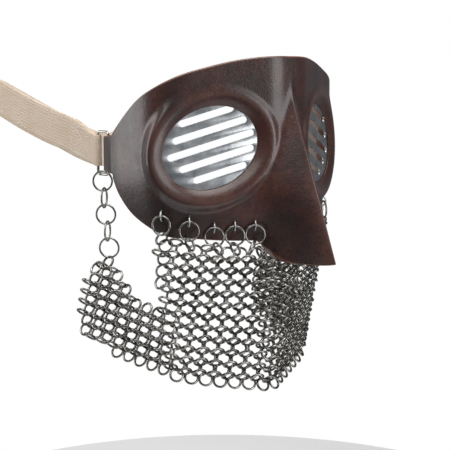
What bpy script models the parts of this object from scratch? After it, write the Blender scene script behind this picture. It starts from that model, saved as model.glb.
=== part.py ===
"""Splatter face mask with a chain mail veil.

A moulded leather half mask has a rimmed, slotted steel plate in front of each eye. A tab at
each temple is folded round a wire loop, which carries the elastic head strap and a short chain.
Small wire staples through the cheeks carry a row of rings, and the mail veil hangs from them.

Metres, +Z up. The mask faces -Y, and the wearer's right is -X. The origin is the inner face of
the leather at the bridge of the nose, where the mask sits on the head.
"""

import math

import bmesh
import bpy
import numpy as np
from mathutils import Vector

MM = 0.001
SIDES = {"right": -1, "left": 1}

# The wrap: in plan, the outward normal turns with the distance s from the mid-plane. It turns
# to the eyes' facet over the brow, stays there across the eyes, and turns again at the temples.
BROW_Y = -2.6 * MM
BROW_TURN, BROW_END = math.radians(30), 20 * MM
TEMPLE_START, TEMPLE_END, TEMPLE_TURN = 58 * MM, 106 * MM, math.radians(88)
REAR_EDGE, REAR_TURN = 127 * MM, math.radians(95)

# The leather and its outline, as (s, z) along the top and bottom edges of one half.
LEATHER = 2.4 * MM
TOP_EDGE = [(0, 35), (9, 35), (22, 34.3), (38, 32), (54, 28.2), (70, 23.5), (87, 15.8),
            (101.5, 8), (118, -4.8), (127, -12.5)]
BOTTOM_EDGE = [(127, -40), (122, -49.8), (111, -61.2), (96, -68.8), (79, -73.4),
               (63.5, -74.4), (48, -75.9), (34, -76.6), (23, -76.8), (19, -78.6), (16, -82.3),
               (12.5, -87), (9, -89), (4, -89.2), (0, -87.4)]
CHEEK_TUCK, TUCK_FROM, TUCK_SPAN = 9 * MM, -30 * MM, 45 * MM
BROW_LEAN, LEAN_FROM, LEAN_SPAN = 0.4 * MM, 10 * MM, 25 * MM

# The nose: a ridge in the mid-plane whose flanks steepen towards the tip.
RIDGE_SLOPE, RIDGE_FROM, RIDGE_ROUND = 0.395, 12 * MM, 1.5 * MM
FLANK_SLOPE, FLANK_STEEPER, NOSE_LENGTH = 1.4, 3.9, 80 * MM
CREASE, NOSE_HALF = 1.6 * MM, 24 * MM

# The eye openings, oval and raised towards the nose, each with a rounded rim.
EYE_S, EYE_Z, EYE_TILT = 51 * MM, -19.5 * MM, math.radians(25)
EYE_LONG, EYE_SHORT = 30 * MM, 24 * MM
PLATE_RECESS, EDGE_LIFT, SEAT_LIFT = 3.4 * MM, 0.9 * MM, 0.3 * MM
CREST_LIFT, CREST_LIFT_REAR, CREST_AT, CREST_AT_NOSE = 5.1 * MM, 3.1 * MM, 6.5 * MM, 8.2 * MM
RIM_FALL, RIM_FALL_REAR = 6 * MM, 10 * MM

# The steel plates: thickness, how far the leather covers their edge, and the slots, as
# (offset across the slots, start, end) along them from the plate's centre.
PLATE, PLATE_LAP = 1.0 * MM, 3.2 * MM
SLOT_WIDTH, SLOT_TILT, SLOT_PITCH = 4.1 * MM, math.radians(17), 8.7 * MM
SLOTS = [(2, -13.8, 20.7), (1, -20.3, 26.3), (0, -26.2, 28.2), (-1, -21.4, 25.5), (-2, -15.3, 18.3)]
SLOT_SHIFT = 1.5 * MM
RETAINER_LAP, RETAINER = 6.2 * MM, 2.6 * MM

# The wire loop at each temple, inside the folded tab.
LOOP_WIRE, LOOP_HALF_HEIGHT, LOOP_LENGTH, LOOP_CORNER = 0.9 * MM, 13.4 * MM, 10.9 * MM, 2.2 * MM
LOOP_Z = -25 * MM
BAR_BACK, BAR_IN = 11.6 * MM, 4.5 * MM
LOOP_SPLAY = {"right": math.radians(3), "left": math.radians(30)}
TAB, TAB_HALF, FLAP = 1.8 * MM, 10.9 * MM, 12 * MM
GAP = 0.3 * MM

# The elastic strap: half width at the loop and free, thickness, and its sewn fold.
STRAP, STRAP_HALF, STRAP_HALF_END, STRAP_HALF_FREE = 1.4 * MM, 9.8 * MM, 11.3 * MM, 12.8 * MM
STRAP_Z, FOLD_LENGTH, END_LENGTH = -23.4 * MM, 27 * MM, 30 * MM
STRAP_RISE = {"right": 9.1 * MM, "left": 15.5 * MM}
STRAP_LEFT = [(0.0975, 0.1405, -0.001), (0.1005, 0.153, 0.012), (0.0985, 0.168, 0.0175),
              (0.092, 0.188, 0.016), (0.085, 0.207, 0.010), (0.078, 0.224, 0.001),
              (0.072, 0.237, -0.0095), (0.064, 0.2465, -0.0205), (0.053, 0.2525, -0.03)]

# Rings: mean radius, wire radius, and the chain's links, which alternate between two directions.
RING, RING_WIRE = 5.8 * MM, 0.62 * MM
LINK = 6.2 * MM
STAPLE, STAPLE_WIRE, HOLE = 3.25 * MM, 0.55 * MM, 1.5 * MM
LINK_TURN = math.radians(50)
CHAIN_ALONG, CHAIN_END = 6.4 * MM, (70 * MM, 90.4 * MM)
LINK_SLACK = 0.7 * MM

# Staples along each cheek, from the temple to the nose: s and z of the centre, and how far
# their ring is turned about the vertical.
HOOKS = [(82, -59.8, 4), (63.8, -63.4, 4), (48.3, -67.4, 22), (35.7, -66.8, 18), (23.2, -66.4, 8)]

# The veil, as a thin sheet that hangs inside the wrap and closes in towards its hem.
MAIL, MAIL_TOP, MAIL_IN, MAIL_CLOSING = 1.1 * MM, -81.5 * MM, 5 * MM, 0.165
CURTAIN_END, HEM_FRONT, HEM_RISE = 88 * MM, -174 * MM, 12 * MM
NOSE_SAG, SAG_FLAT, SAG_RISE = 10.5 * MM, 5 * MM, 17 * MM
WING_REAR = (76 * MM, 117 * MM)
WING_TOP = [(0.012, -118), (0.2, -119), (0.31, -111), (0.46, -102), (0.56, -94), (0.62, -92),
            (0.7, -92), (0.76, -94), (0.87, -104.6), (0.97, -121)]
WING_HEM = [(0.012, -162), (0.32, -159), (0.5, -157), (0.65, -153), (0.8, -150.5), (0.89, -149.5),
            (0.97, -136)]


def smooth(t):
    """0 to 1 with level ends."""
    t = np.clip(t, 0, 1)
    return t * t * t * (t * (6 * t - 15) + 10)


def soft_less(a, b, width):
    """The lesser of a and b, with a rounded change between them."""
    nearer = np.minimum(a, b)
    return nearer - width * np.log1p(np.exp(-np.abs(a - b) / width))


def along(points, t):
    """A polyline of (x, y) pairs in millimetres, read at t."""
    return np.interp(t, [p[0] for p in points], [p[1] for p in points])


def curve_through(points, steps):
    """Points on a smooth curve through the given ones, with steps between each two."""
    p = np.array(points, float)
    p = np.vstack([2 * p[0] - p[1], p, 2 * p[-1] - p[-2]])
    out = []
    for i in range(1, len(p) - 2):
        for t in np.arange(steps) / steps:
            out.append(0.5 * (2 * p[i] + (p[i + 1] - p[i - 1]) * t
                              + (2 * p[i - 1] - 5 * p[i] + 4 * p[i + 1] - p[i + 2]) * t**2
                              + (3 * p[i] - p[i - 1] - 3 * p[i + 1] + p[i + 2]) * t**3))
    return np.array(out + [p[-2]])


def facing(s):
    """The angle from straight ahead of the outward normal at s."""
    return (BROW_TURN * smooth(s / BROW_END)
            + (TEMPLE_TURN - BROW_TURN) * smooth((s - TEMPLE_START) / (TEMPLE_END - TEMPLE_START))
            + (REAR_TURN - TEMPLE_TURN) * smooth((s - TEMPLE_END) / (REAR_EDGE - TEMPLE_END)))


WRAP_S = np.arange(0, 140 * MM, 0.1 * MM)
WRAP_TURN = facing((WRAP_S[1:] + WRAP_S[:-1]) / 2)
WRAP_X = np.concatenate([[0], np.cumsum(np.cos(WRAP_TURN) * np.diff(WRAP_S))])
WRAP_Y = BROW_Y + np.concatenate([[0], np.cumsum(np.sin(WRAP_TURN) * np.diff(WRAP_S))])


def wrap(s, z, inward):
    """The point at s and z on the wrap, moved inwards along its normal."""
    s, z = np.broadcast_arrays(np.asarray(s, float), np.asarray(z, float))
    turn = facing(s)
    x = np.interp(s, WRAP_S, WRAP_X) - inward * np.sin(turn)
    y = np.interp(s, WRAP_S, WRAP_Y) + inward * np.cos(turn)
    return np.stack([x, y, z], -1)


def tuck(z):
    """How far the leather leans in, below the eyes and at the top of the brow."""
    low = np.clip((TUCK_FROM - z) / TUCK_SPAN, 0, None)
    high = np.clip((z - LEAN_FROM) / LEAN_SPAN, 0, None)
    return CHEEK_TUCK * low**1.8 + BROW_LEAN * high**2


def opening_radius(angle):
    """The oval's radius at an angle in (s, z) about its centre; its long axis rises to the nose."""
    a = angle - (math.pi - EYE_TILT)
    return 1 / np.sqrt((np.cos(a) / EYE_LONG) ** 2 + (np.sin(a) / EYE_SHORT) ** 2)


def shell_point(s, z, inner):
    """The leather's outer or inner face at s and z, for the half with positive X."""
    s, z = np.broadcast_arrays(np.asarray(s, float), np.asarray(z, float))
    angle = np.arctan2(z - EYE_Z, s - EYE_S)
    beyond = np.hypot(s - EYE_S, z - EYE_Z) - opening_radius(angle)
    rearward = (1 + np.cos(angle)) / 2
    crest_at = CREST_AT_NOSE + (CREST_AT - CREST_AT_NOSE) * rearward
    crest = CREST_LIFT + (CREST_LIFT_REAR - CREST_LIFT) * rearward
    rise = np.sin(math.pi / 2 * np.clip(beyond / crest_at, 0, 1))
    lift = SEAT_LIFT if inner else EDGE_LIFT + (crest - EDGE_LIFT) * rise
    centre = wrap(EYE_S, 0, 0)
    facet = np.stack([centre[0] + (s - EYE_S) * math.cos(BROW_TURN)
                      + (lift - PLATE_RECESS) * math.sin(BROW_TURN),
                      centre[1] + (s - EYE_S) * math.sin(BROW_TURN)
                      - (lift - PLATE_RECESS) * math.cos(BROW_TURN), z], -1)
    fall = RIM_FALL + (RIM_FALL_REAR - RIM_FALL) * rearward
    share = smooth((beyond - crest_at) / fall)[..., None]
    depth = tuck(z) + (LEATHER if inner else 0)
    p = facet * (1 - share) + wrap(s, z, depth) * share
    steepness = FLANK_SLOPE + FLANK_STEEPER * np.clip(-z / NOSE_LENGTH, 0, None) ** 4.5
    flank = steepness * (np.sqrt(p[..., 0] ** 2 + RIDGE_ROUND**2) - RIDGE_ROUND)
    flank = flank + np.clip(p[..., 0] - NOSE_HALF, 0, None) ** 2 / (4 * MM)
    nose = BROW_Y - RIDGE_SLOPE * (RIDGE_FROM - z) + flank
    if inner:
        nose = nose + LEATHER * np.sqrt(1 + steepness**2)
    p[..., 1] = soft_less(p[..., 1], nose, CREASE)
    return p


def outward_at(s, z):
    """The leather's outward unit normal at s and z, for the half with positive X."""
    step = 0.5 * MM
    across = shell_point(s + step, z, False) - shell_point(s - step, z, False)
    up = shell_point(s, z + step, False) - shell_point(s, z - step, False)
    normal = np.cross(across, up)
    return normal / np.linalg.norm(normal)


def material(name, colour, roughness, metallic):
    made = bpy.data.materials.new(name)
    made.use_nodes = True
    shader = made.node_tree.nodes["Principled BSDF"]
    shader.inputs["Base Color"].default_value = (*colour, 1)
    shader.inputs["Roughness"].default_value = roughness
    shader.inputs["Metallic"].default_value = metallic
    return made


def clear_scene():
    for obj in list(bpy.data.objects):
        bpy.data.objects.remove(obj)


def add_object(name, points, faces, look, origin=(0, 0, 0)):
    """A closed mesh as a named object, with its faces pointing out and its origin as given."""
    origin = Vector([float(v) for v in origin])
    mesh = bpy.data.meshes.new(name)
    mesh.from_pydata([Vector([float(v) for v in p]) - origin for p in points], [], faces)
    work = bmesh.new()
    work.from_mesh(mesh)
    bmesh.ops.remove_doubles(work, verts=work.verts, dist=1e-6)
    bmesh.ops.recalc_face_normals(work, faces=work.faces)
    work.to_mesh(mesh)
    work.free()
    mesh.shade_smooth()
    mesh.set_sharp_from_angle(angle=math.radians(40))
    mesh.materials.append(look)
    obj = bpy.data.objects.new(name, mesh)
    obj.location = origin
    bpy.context.scene.collection.objects.link(obj)
    return obj


def hide_helper(obj):
    obj.hide_render = True
    obj.display_type = "WIRE"


def boolean(obj, other, operation):
    hide_helper(other)
    change = obj.modifiers.new(other.name, "BOOLEAN")
    change.object = other
    change.operation = operation
    change.solver = "EXACT"


def grid_faces(rows, columns, start=0):
    return [(start + i * columns + j, start + i * columns + j + 1,
             start + (i + 1) * columns + j + 1, start + (i + 1) * columns + j)
            for i in range(rows - 1) for j in range(columns - 1)]


def tube(points, normal, radius, sides):
    """A closed planar loop of round wire, as points and faces."""
    p = np.array(points, float)
    ahead = np.roll(p, -1, 0) - np.roll(p, 1, 0)
    ahead /= np.linalg.norm(ahead, axis=1)[:, None]
    normal = np.array(normal, float) / np.linalg.norm(normal)
    across = np.cross(ahead, normal)
    made, faces, n = [], [], len(p)
    for i in range(n):
        for j in range(sides):
            a = 2 * math.pi * (j + 0.5) / sides
            made.append(p[i] + radius * (math.cos(a) * across[i] + math.sin(a) * normal))
            k, m = (i + 1) % n, (j + 1) % sides
            faces.append((i * sides + j, i * sides + m, k * sides + m, k * sides + j))
    return made, faces


def circle(centre, normal, radius, count):
    """Points of a circle, starting at its top."""
    normal = np.array(normal, float) / np.linalg.norm(normal)
    level = np.cross(normal, (0, 0, 1))
    level /= np.linalg.norm(level)
    up = np.cross(level, normal)
    return [np.array(centre) + radius * (math.cos(a) * up + math.sin(a) * level)
            for a in 2 * math.pi * np.arange(count) / count]


def ribbon(centres, halves, outs, thickness):
    """A strip of even thickness: at each centre, half its width as a vector, and its normal."""
    points, n = [], len(centres)
    for c, h, o in zip(centres, halves, outs):
        points += [c + h + o * thickness / 2, c - h + o * thickness / 2,
                   c - h - o * thickness / 2, c + h - o * thickness / 2]
    faces = [(0, 1, 2, 3), (4 * n - 1, 4 * n - 2, 4 * n - 3, 4 * n - 4)]
    for i in range(n - 1):
        for j in range(4):
            k = (j + 1) % 4
            faces.append((4 * i + j, 4 * i + k, 4 * i + 4 + k, 4 * i + 4 + j))
    return points, faces


def path_normals(path):
    """Unit normals, to the right of the heading, along a plan path of (x, y)."""
    step = np.gradient(np.array(path, float), axis=0)
    step /= np.linalg.norm(step, axis=1)[:, None]
    return np.stack([step[:, 1], -step[:, 0], 0 * step[:, 0]], 1)


def round_bar(start, bar, radius, finish, steps=10):
    """A plan path from start, round the far side of a bar turning left, to finish."""
    start, bar, finish = (np.array(v, float) for v in (start, bar, finish))

    def heading(point, sign):
        to_bar = (bar - point) * sign
        lean = math.asin(radius / np.linalg.norm(to_bar))
        return math.atan2(to_bar[1], to_bar[0]) - sign * lean

    first, last = heading(start, 1), heading(finish, -1)
    while last < first:
        last += 2 * math.pi
    turns = np.linspace(first, last, steps)
    arc = [bar + radius * np.array([math.sin(a), -math.cos(a)]) for a in turns]
    return [start, *arc, finish]


def outline():
    """The half shell's outline in (s, z): top edge, rear, bottom edge, then up the mid-plane."""
    top = curve_through(TOP_EDGE, 2) * MM
    bottom = curve_through(BOTTOM_EDGE, 2) * MM
    rear = np.linspace(top[-1], bottom[0], 5)[1:-1]
    middle = np.linspace(bottom[-1], top[0], 20)[1:-1]
    return np.vstack([top, rear, bottom, middle])


def shell_grid():
    """(s, z) from the eye opening out to the outline, one row for each outline point."""
    rim_steps = np.array([0, 1.6, 3.8, 6.5, 8.6, 11, 14.5]) * MM
    rows = []
    for s, z in outline():
        angle = math.atan2(z - EYE_Z, s - EYE_S)
        inner, outer = opening_radius(angle), math.hypot(s - EYE_S, z - EYE_Z)
        reach = np.concatenate([inner + rim_steps, np.linspace(inner + rim_steps[-1], outer, 13)[1:]])
        rows.append(np.stack([EYE_S + reach * math.cos(angle), EYE_Z + reach * math.sin(angle)], 1))
        rows[-1][-1] = (s, z)
    return np.array(rows)


def rear_frame():
    """The plan point at the shell's rear edge, the way on behind it, and the way inwards."""
    turn = facing(REAR_EDGE)
    edge = wrap(REAR_EDGE, 0, 0)[:2]
    return edge, np.array([math.cos(turn), math.sin(turn)]), np.array([-math.sin(turn), math.cos(turn)])


def behind(back, inwards):
    """The plan point this far behind the rear edge and this far in from the outer face."""
    edge, rear, inner = rear_frame()
    return edge + back * rear + inwards * inner


def mirrored(points, side):
    return [np.array([side * p[0], p[1], p[2]]) for p in points]


def make_shell(look):
    grid = shell_grid()
    n, m = grid.shape[:2]
    points, faces = [], []
    for side in SIDES.values():
        for inner in (False, True):
            start = len(points)
            face = shell_point(grid[..., 0], grid[..., 1], inner).reshape(-1, 3)
            face[:, 0] = np.where(grid[..., 0].reshape(-1) < 1e-9, 0, face[:, 0])
            points += mirrored(face, side)
            for i in range(n):
                k = (i + 1) % n
                faces += [(start + i * m + j, start + i * m + j + 1, start + k * m + j + 1,
                           start + k * m + j) for j in range(m - 1)]
        outer = start - n * m
        for i in range(n):
            k = (i + 1) % n
            faces.append((outer + i * m, outer + k * m, start + k * m, start + i * m))
            if grid[i, -1, 0] > 1e-9 or grid[k, -1, 0] > 1e-9:
                faces.append((outer + i * m + m - 1, outer + k * m + m - 1,
                              start + k * m + m - 1, start + i * m + m - 1))
    shell = add_object("mask_shell", points, faces, look)
    for name, side in SIDES.items():
        boolean(shell, make_tab("tab_" + name, side, look), "UNION")
    boolean(shell, make_holes(look), "DIFFERENCE")
    return shell


def make_tab(name, side, look):
    """The leather tab: it leaves the rear edge, goes round the loop's bar, and comes back inside."""
    path = [(-3 * MM, LEATHER / 2), (-1 * MM, LEATHER / 2)]
    radius = LOOP_WIRE + GAP + TAB / 2
    flap = LEATHER + GAP + TAB / 2
    path += round_bar((1 * MM, LEATHER / 2), (BAR_BACK, BAR_IN), radius, (-1 * MM, flap))
    path += [(-FLAP, flap + 0.4 * MM)]
    plan = [behind(*p) for p in path]
    outs = path_normals(plan)
    top, low = LOOP_Z + TAB_HALF, LOOP_Z - TAB_HALF
    flare = [2 * MM, 1.8 * MM, 1.2 * MM]
    flare += [0] * (len(path) - len(flare))
    centres = [np.array([*p, (top + low) / 2]) for p in plan]
    halves = [np.array([0, 0, (top - low) / 2 + f]) for f in flare]
    points, faces = ribbon(centres, halves, outs, TAB)
    return add_object(name, mirrored(points, side), faces, look)


def staple_centre(hook):
    s, z = HOOKS[hook][0] * MM, HOOKS[hook][1] * MM
    return shell_point(s, z, False), outward_at(s, z)


def make_holes(look):
    """Two holes through the leather at each staple, one above the other, as one cutter."""
    points, faces = [], []
    reach, sides = 5 * MM, 8
    for side in SIDES.values():
        for hook in range(len(HOOKS)):
            centre, out = staple_centre(hook)
            level = np.cross(out, (0, 0, 1))
            level /= np.linalg.norm(level)
            up = np.cross(level, out)
            for way in (-1, 1):
                middle = centre + way * up * (STAPLE - 0.5 * MM)
                start = len(points)
                for end in (-reach, 2 * MM):
                    ring = [middle + end * out + HOLE * (math.cos(a) * up + math.sin(a) * level)
                            for a in 2 * math.pi * np.arange(sides) / sides]
                    points += mirrored(ring, side)
                faces += [tuple(start + i for i in range(sides)),
                          tuple(start + sides + i for i in reversed(range(sides)))]
                faces += [(start + i, start + (i + 1) % sides, start + sides + (i + 1) % sides,
                           start + sides + i) for i in range(sides)]
    return add_object("staple_holes", points, faces, look)


def plate_frame():
    """The centre of the plate's front face, and its ways along s, up and out."""
    out = np.array([math.sin(BROW_TURN), -math.cos(BROW_TURN), 0])
    rear = np.array([math.cos(BROW_TURN), math.sin(BROW_TURN), 0])
    centre = wrap(EYE_S, EYE_Z, PLATE_RECESS)
    return centre, rear, np.array([0, 0, 1.0]), out


def on_plate(s, z, lift):
    centre, rear, up, out = plate_frame()
    return centre + s * rear + z * up + lift * out


def oval(beyond, count):
    """Points in (s, z) about the eye's centre, a given distance outside the opening."""
    angles = 2 * math.pi * np.arange(count) / count
    radii = opening_radius(angles) + beyond
    return [(r * math.cos(a), r * math.sin(a)) for a, r in zip(angles, radii)]


def prism(ring, low, high, side):
    """A closed slab over a ring of plate positions, from one lift to another."""
    n = len(ring)
    points = [on_plate(s, z, lift) for lift in (low, high) for s, z in ring]
    faces = [tuple(range(n)), tuple(range(2 * n - 1, n - 1, -1))]
    faces += [(i, (i + 1) % n, n + (i + 1) % n, n + i) for i in range(n)]
    return mirrored(points, side), faces


def slot_ring(across, start, end):
    """A round-ended slot's outline in plate positions; slots rise towards the nose."""
    half, steps = SLOT_WIDTH / 2, 6
    ring = []
    for centre, first in ((end - half, -90), (start + half, 90)):
        for a in np.radians(first + 180 * np.arange(steps + 1) / steps):
            ring.append((centre + half * math.cos(a), across + half * math.sin(a)))
    cos, sin = math.cos(SLOT_TILT), math.sin(SLOT_TILT)
    return [(-(a * cos - b * sin), a * sin + b * cos) for a, b in ring]


def make_plate(name, side, look):
    points, faces = prism(oval(PLATE_LAP, 40), -PLATE, 0, side)
    plate = add_object("eye_plate_" + name, points, faces, look)
    points, faces = [], []
    for row, start, end in SLOTS:
        slot, sides = prism(slot_ring(SLOT_SHIFT + row * SLOT_PITCH, start * MM, end * MM),
                            -3 * MM, 2 * MM, side)
        faces += [tuple(len(points) + i for i in face) for face in sides]
        points += slot
    boolean(plate, add_object("slots_" + name, points, faces, look), "DIFFERENCE")


def make_retainer(name, side, look):
    """A stepped leather ring behind the plate, glued to the inside of the rim."""
    section = [(0.5 * MM, -PLATE - GAP), (PLATE_LAP + GAP, -PLATE - GAP), (PLATE_LAP + GAP, 0),
               (RETAINER_LAP, 0), (RETAINER_LAP, -RETAINER), (0.5 * MM, -RETAINER)]
    count, k = 36, len(section)
    rings = [oval(beyond, count) for beyond, _ in section]
    points = [on_plate(*rings[j][i], section[j][1]) for i in range(count) for j in range(k)]
    faces = [(i * k + j, i * k + (j + 1) % k, (i + 1) % count * k + (j + 1) % k,
              (i + 1) % count * k + j) for i in range(count) for j in range(k)]
    add_object("eye_retainer_" + name, mirrored(points, side), faces, look)


def loop_bars(name):
    """The plan positions of the loop's two upright bars, and the way between them, before mirroring."""
    inner = behind(BAR_BACK, BAR_IN)
    way = np.array([math.sin(LOOP_SPLAY[name]), math.cos(LOOP_SPLAY[name])])
    return inner, inner + LOOP_LENGTH * way, way


def make_loop(name, side, look):
    inner, outer, way = loop_bars(name)
    middle, points = (inner + outer) / 2, []
    for a, b in ((1, 1), (-1, 1), (-1, -1), (1, -1)):
        corner = np.array([a * (LOOP_LENGTH / 2 - LOOP_CORNER), b * (LOOP_HALF_HEIGHT - LOOP_CORNER)])
        first = math.degrees(math.atan2(b, a)) - 45
        for turn in np.radians(first + 90 * np.arange(4) / 3):
            u, v = corner + LOOP_CORNER * np.array([math.cos(turn), math.sin(turn)])
            points.append(np.array([*(middle + u * way), LOOP_Z + v]))
    made, faces = tube(mirrored(points, side), (side * way[1], -way[0], 0), LOOP_WIRE, 8)
    add_object("strap_loop_" + name, made, faces, look, (side * inner[0], inner[1], LOOP_Z))


def fold_end(name):
    """Where the strap leaves its sewn end, before mirroring."""
    _, outer, way = loop_bars(name)
    return np.array([*(outer + way * END_LENGTH), STRAP_Z + STRAP_RISE[name]])


def strap_route():
    """The strap's middle line behind the loops, from the right loop round to the left."""
    right = [fold_end("right"), (0.0745, 0.155, -0.0085), (0.0762, 0.185, 0), (0.0765, 0.214, 0.0088),
             (0.0755, 0.23, 0.013), (0.0715, 0.242, 0.014), (0.064, 0.25, 0.0122),
             (0.05, 0.2555, 0.0067)]
    left = [fold_end("left"), *STRAP_LEFT]
    middle = [(-0.02, 0.259, -0.0077), (0.005, 0.26, -0.0195), (0.024, 0.259, -0.029),
              (0.039, 0.256, -0.034)]
    return curve_through(mirrored(right, -1) + middle + left[::-1], 4)


def make_strap(look):
    route = strap_route()
    step = np.gradient(route, axis=0)
    step /= np.linalg.norm(step, axis=1)[:, None]
    outs = np.cross(step, (0, 0, 1))
    outs /= np.linalg.norm(outs, axis=1)[:, None]
    ups = np.cross(outs, step)
    route[0] += 2 * GAP * step[0]
    route[-1] -= 2 * GAP * step[-1]
    share = np.abs(np.linspace(-1, 1, len(route)))[:, None]
    half = STRAP_HALF_FREE + (STRAP_HALF_END - STRAP_HALF_FREE) * share**4
    points, faces = ribbon(route, ups * half, outs, STRAP)
    add_object("head_strap", points, faces, look)


def make_strap_end(name, side, look):
    """The strap's sewn end: folded round the loop's rear bar, with the two layers side by side."""
    inner, outer, way = loop_bars(name)
    across = np.array([-way[1], way[0]])
    layer = STRAP / 2 + GAP / 2
    radius = LOOP_WIRE + GAP + STRAP / 2
    under, over = outer + way * FOLD_LENGTH + across * layer, outer + way * END_LENGTH
    near_under, near_over = outer + way * 5 * MM + across * layer, outer + way * 5 * MM - across * layer
    folded = round_bar(near_under, outer, radius, near_over)
    path = [under, *folded, outer + way * 12 * MM - across * layer, over - across * layer]
    outs = path_normals(path)
    back = [(p - outer) @ way for p in path]
    share = smooth(np.array(back) / END_LENGTH)
    slope = STRAP_RISE[name] / END_LENGTH
    centres = [np.array([*p, STRAP_Z + slope * max(b, 0)]) for p, b in zip(path, back)]
    lean = 0.87 * slope * np.array([*way, 0])
    halves = [(np.array([0, 0, 1]) - w * lean) * (STRAP_HALF + w * (STRAP_HALF_END - STRAP_HALF))
              for w in share]
    points, faces = ribbon(centres, halves, outs, STRAP)
    add_object("strap_end_" + name, mirrored(points, side), faces, look,
               (side * inner[0], inner[1], LOOP_Z))


def chain_places(name):
    """Centre, normal and hanging point of the four links and the veil's ring, with positive X."""
    step = 2 * LINK - 2 * RING_WIRE - LINK_SLACK
    hang = LOOP_Z - LOOP_HALF_HEIGHT + LOOP_WIRE + RING_WIRE + GAP
    inner, _, way = loop_bars(name)
    top, places = inner + way * CHAIN_ALONG, []
    for link in range(5):
        share = link / 4
        x, y = top + (np.array(CHAIN_END) - top) * share
        turn = LINK_TURN if link % 2 else LINK_TURN - math.pi / 2
        if link < 2:
            turn -= LOOP_SPLAY[name] - LOOP_SPLAY["right"]
        normal = np.array([math.cos(turn), math.sin(turn), 0])
        places.append((np.array([x, y, hang - LINK]), normal, np.array([x, y, hang])))
        hang -= step
    return places


def make_chain(name, side, look):
    for link, (centre, normal, hang) in enumerate(chain_places(name)):
        title = f"chain_link_{link + 1}_{name}" if link < 4 else f"wing_ring_{name}"
        points, faces = tube(circle(centre, normal, LINK, 14), normal, RING_WIRE, 5)
        add_object(title, mirrored(points, side), faces, look, (side * hang[0], hang[1], hang[2]))


def hook_place(hook):
    """The large ring on a staple: its centre, normal, and the point it hangs from."""
    centre, out = staple_centre(hook)
    level = math.atan2(out[1], out[0]) + math.radians(HOOKS[hook][2])
    normal = np.array([math.cos(level), math.sin(level), 0])
    flat = np.array([out[0], out[1], 0]) / math.hypot(out[0], out[1])
    hang = centre + flat * (STAPLE - STAPLE_WIRE - RING_WIRE - 0.2 * MM)
    return hang - np.array([0, 0, RING]), normal, hang


def make_hooks(name, side, look):
    for hook in range(len(HOOKS)):
        centre, out = staple_centre(hook)
        level = np.cross(out, (0, 0, 1))
        points, faces = tube(circle(centre, level, STAPLE, 12), level, STAPLE_WIRE, 5)
        add_object(f"hook_staple_{hook + 1}_{name}", mirrored(points, side), faces, look)
        centre, normal, hang = hook_place(hook)
        points, faces = tube(circle(centre, normal, RING, 14), normal, RING_WIRE, 5)
        add_object(f"hook_ring_{hook + 1}_{name}", mirrored(points, side), faces, look,
                   (side * hang[0], hang[1], hang[2]))


def mail_point(s, z):
    """The middle of the veil at s and z; s may be negative, on the wearer's right."""
    p = wrap(np.abs(s), z, MAIL_IN + MAIL_CLOSING * (MAIL_TOP - z))
    p[..., 0] *= np.where(np.asarray(s) < 0, -1, 1)
    return p


def mail_top(s):
    """The veil's top edge, which sags between the hooks beside the nose."""
    return MAIL_TOP - NOSE_SAG * (1 - smooth((np.abs(s) - SAG_FLAT) / SAG_RISE))


def hem(s):
    return HEM_FRONT + HEM_RISE * (np.abs(s) / CURTAIN_END) ** 1.4


def sheet(middle, thickness):
    """A closed sheet about a grid of middle points, given as rows by columns by xyz."""
    rows, columns = middle.shape[:2]
    down, across = np.gradient(middle, axis=0), np.gradient(middle, axis=1)
    normal = np.cross(across, down)
    normal /= np.linalg.norm(normal, axis=2)[..., None]
    front = (middle + normal * thickness / 2).reshape(-1, 3)
    back = (middle - normal * thickness / 2).reshape(-1, 3)
    n = rows * columns
    faces = grid_faces(rows, columns) + grid_faces(rows, columns, n)
    edge = ([(0, j) for j in range(columns)] + [(i, columns - 1) for i in range(1, rows)]
            + [(rows - 1, j) for j in range(columns - 2, -1, -1)]
            + [(i, 0) for i in range(rows - 2, 0, -1)])
    edge = [i * columns + j for i, j in edge]
    faces += [(a, b, n + b, n + a) for a, b in zip(edge, edge[1:] + edge[:1])]
    return [*front, *back], faces


def make_curtain(look):
    s = np.linspace(-CURTAIN_END, CURTAIN_END, 37)
    share = np.linspace(0, 1, 8)[:, None]
    z = mail_top(s) + (hem(s) - mail_top(s)) * share
    points, faces = sheet(mail_point(np.broadcast_to(s, z.shape), z), MAIL)
    add_object("mail_curtain", points, faces, look, (0, 20 * MM, MAIL_TOP))


def wing_point(share, z):
    """The wing's middle between the curtain's rear edge and the wing's rear, with positive X."""
    front = mail_point(np.full_like(z, CURTAIN_END), z)
    rear = np.stack([np.full_like(z, WING_REAR[0]), np.full_like(z, WING_REAR[1]), z], -1)
    return front + (rear - front) * share[..., None]


def make_wing(name, side, look):
    share = np.array([0.012, 0.1, 0.2, 0.31, 0.4, 0.5, 0.6, 0.7, 0.78, 0.87, 0.92, 0.97])
    top, low = along(WING_TOP, share) * MM, along(WING_HEM, share) * MM
    z = top + (low - top) * np.linspace(0, 1, 6)[:, None]
    points, faces = sheet(wing_point(np.broadcast_to(share, z.shape), z), MAIL)
    fold = mail_point(CURTAIN_END, -0.14)
    add_object("mail_wing_" + name, mirrored(points, side), faces, look,
               (side * fold[0], fold[1], fold[2]))


def main():
    clear_scene()
    leather = material("brown_leather", (0.075, 0.022, 0.014), 0.42, 0)
    lining = material("raw_leather", (0.25, 0.13, 0.07), 0.85, 0)
    plate = material("mottled_steel", (0.42, 0.45, 0.47), 0.34, 1)
    wire = material("grey_wire", (0.24, 0.24, 0.22), 0.33, 1)
    elastic = material("beige_elastic", (0.72, 0.58, 0.44), 0.9, 0)
    make_shell(leather)
    make_strap(elastic)
    make_curtain(wire)
    for name, side in SIDES.items():
        make_plate(name, side, plate)
        make_retainer(name, side, lining)
        make_loop(name, side, wire)
        make_strap_end(name, side, elastic)
        make_chain(name, side, wire)
        make_hooks(name, side, wire)
        make_wing(name, side, wire)


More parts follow.
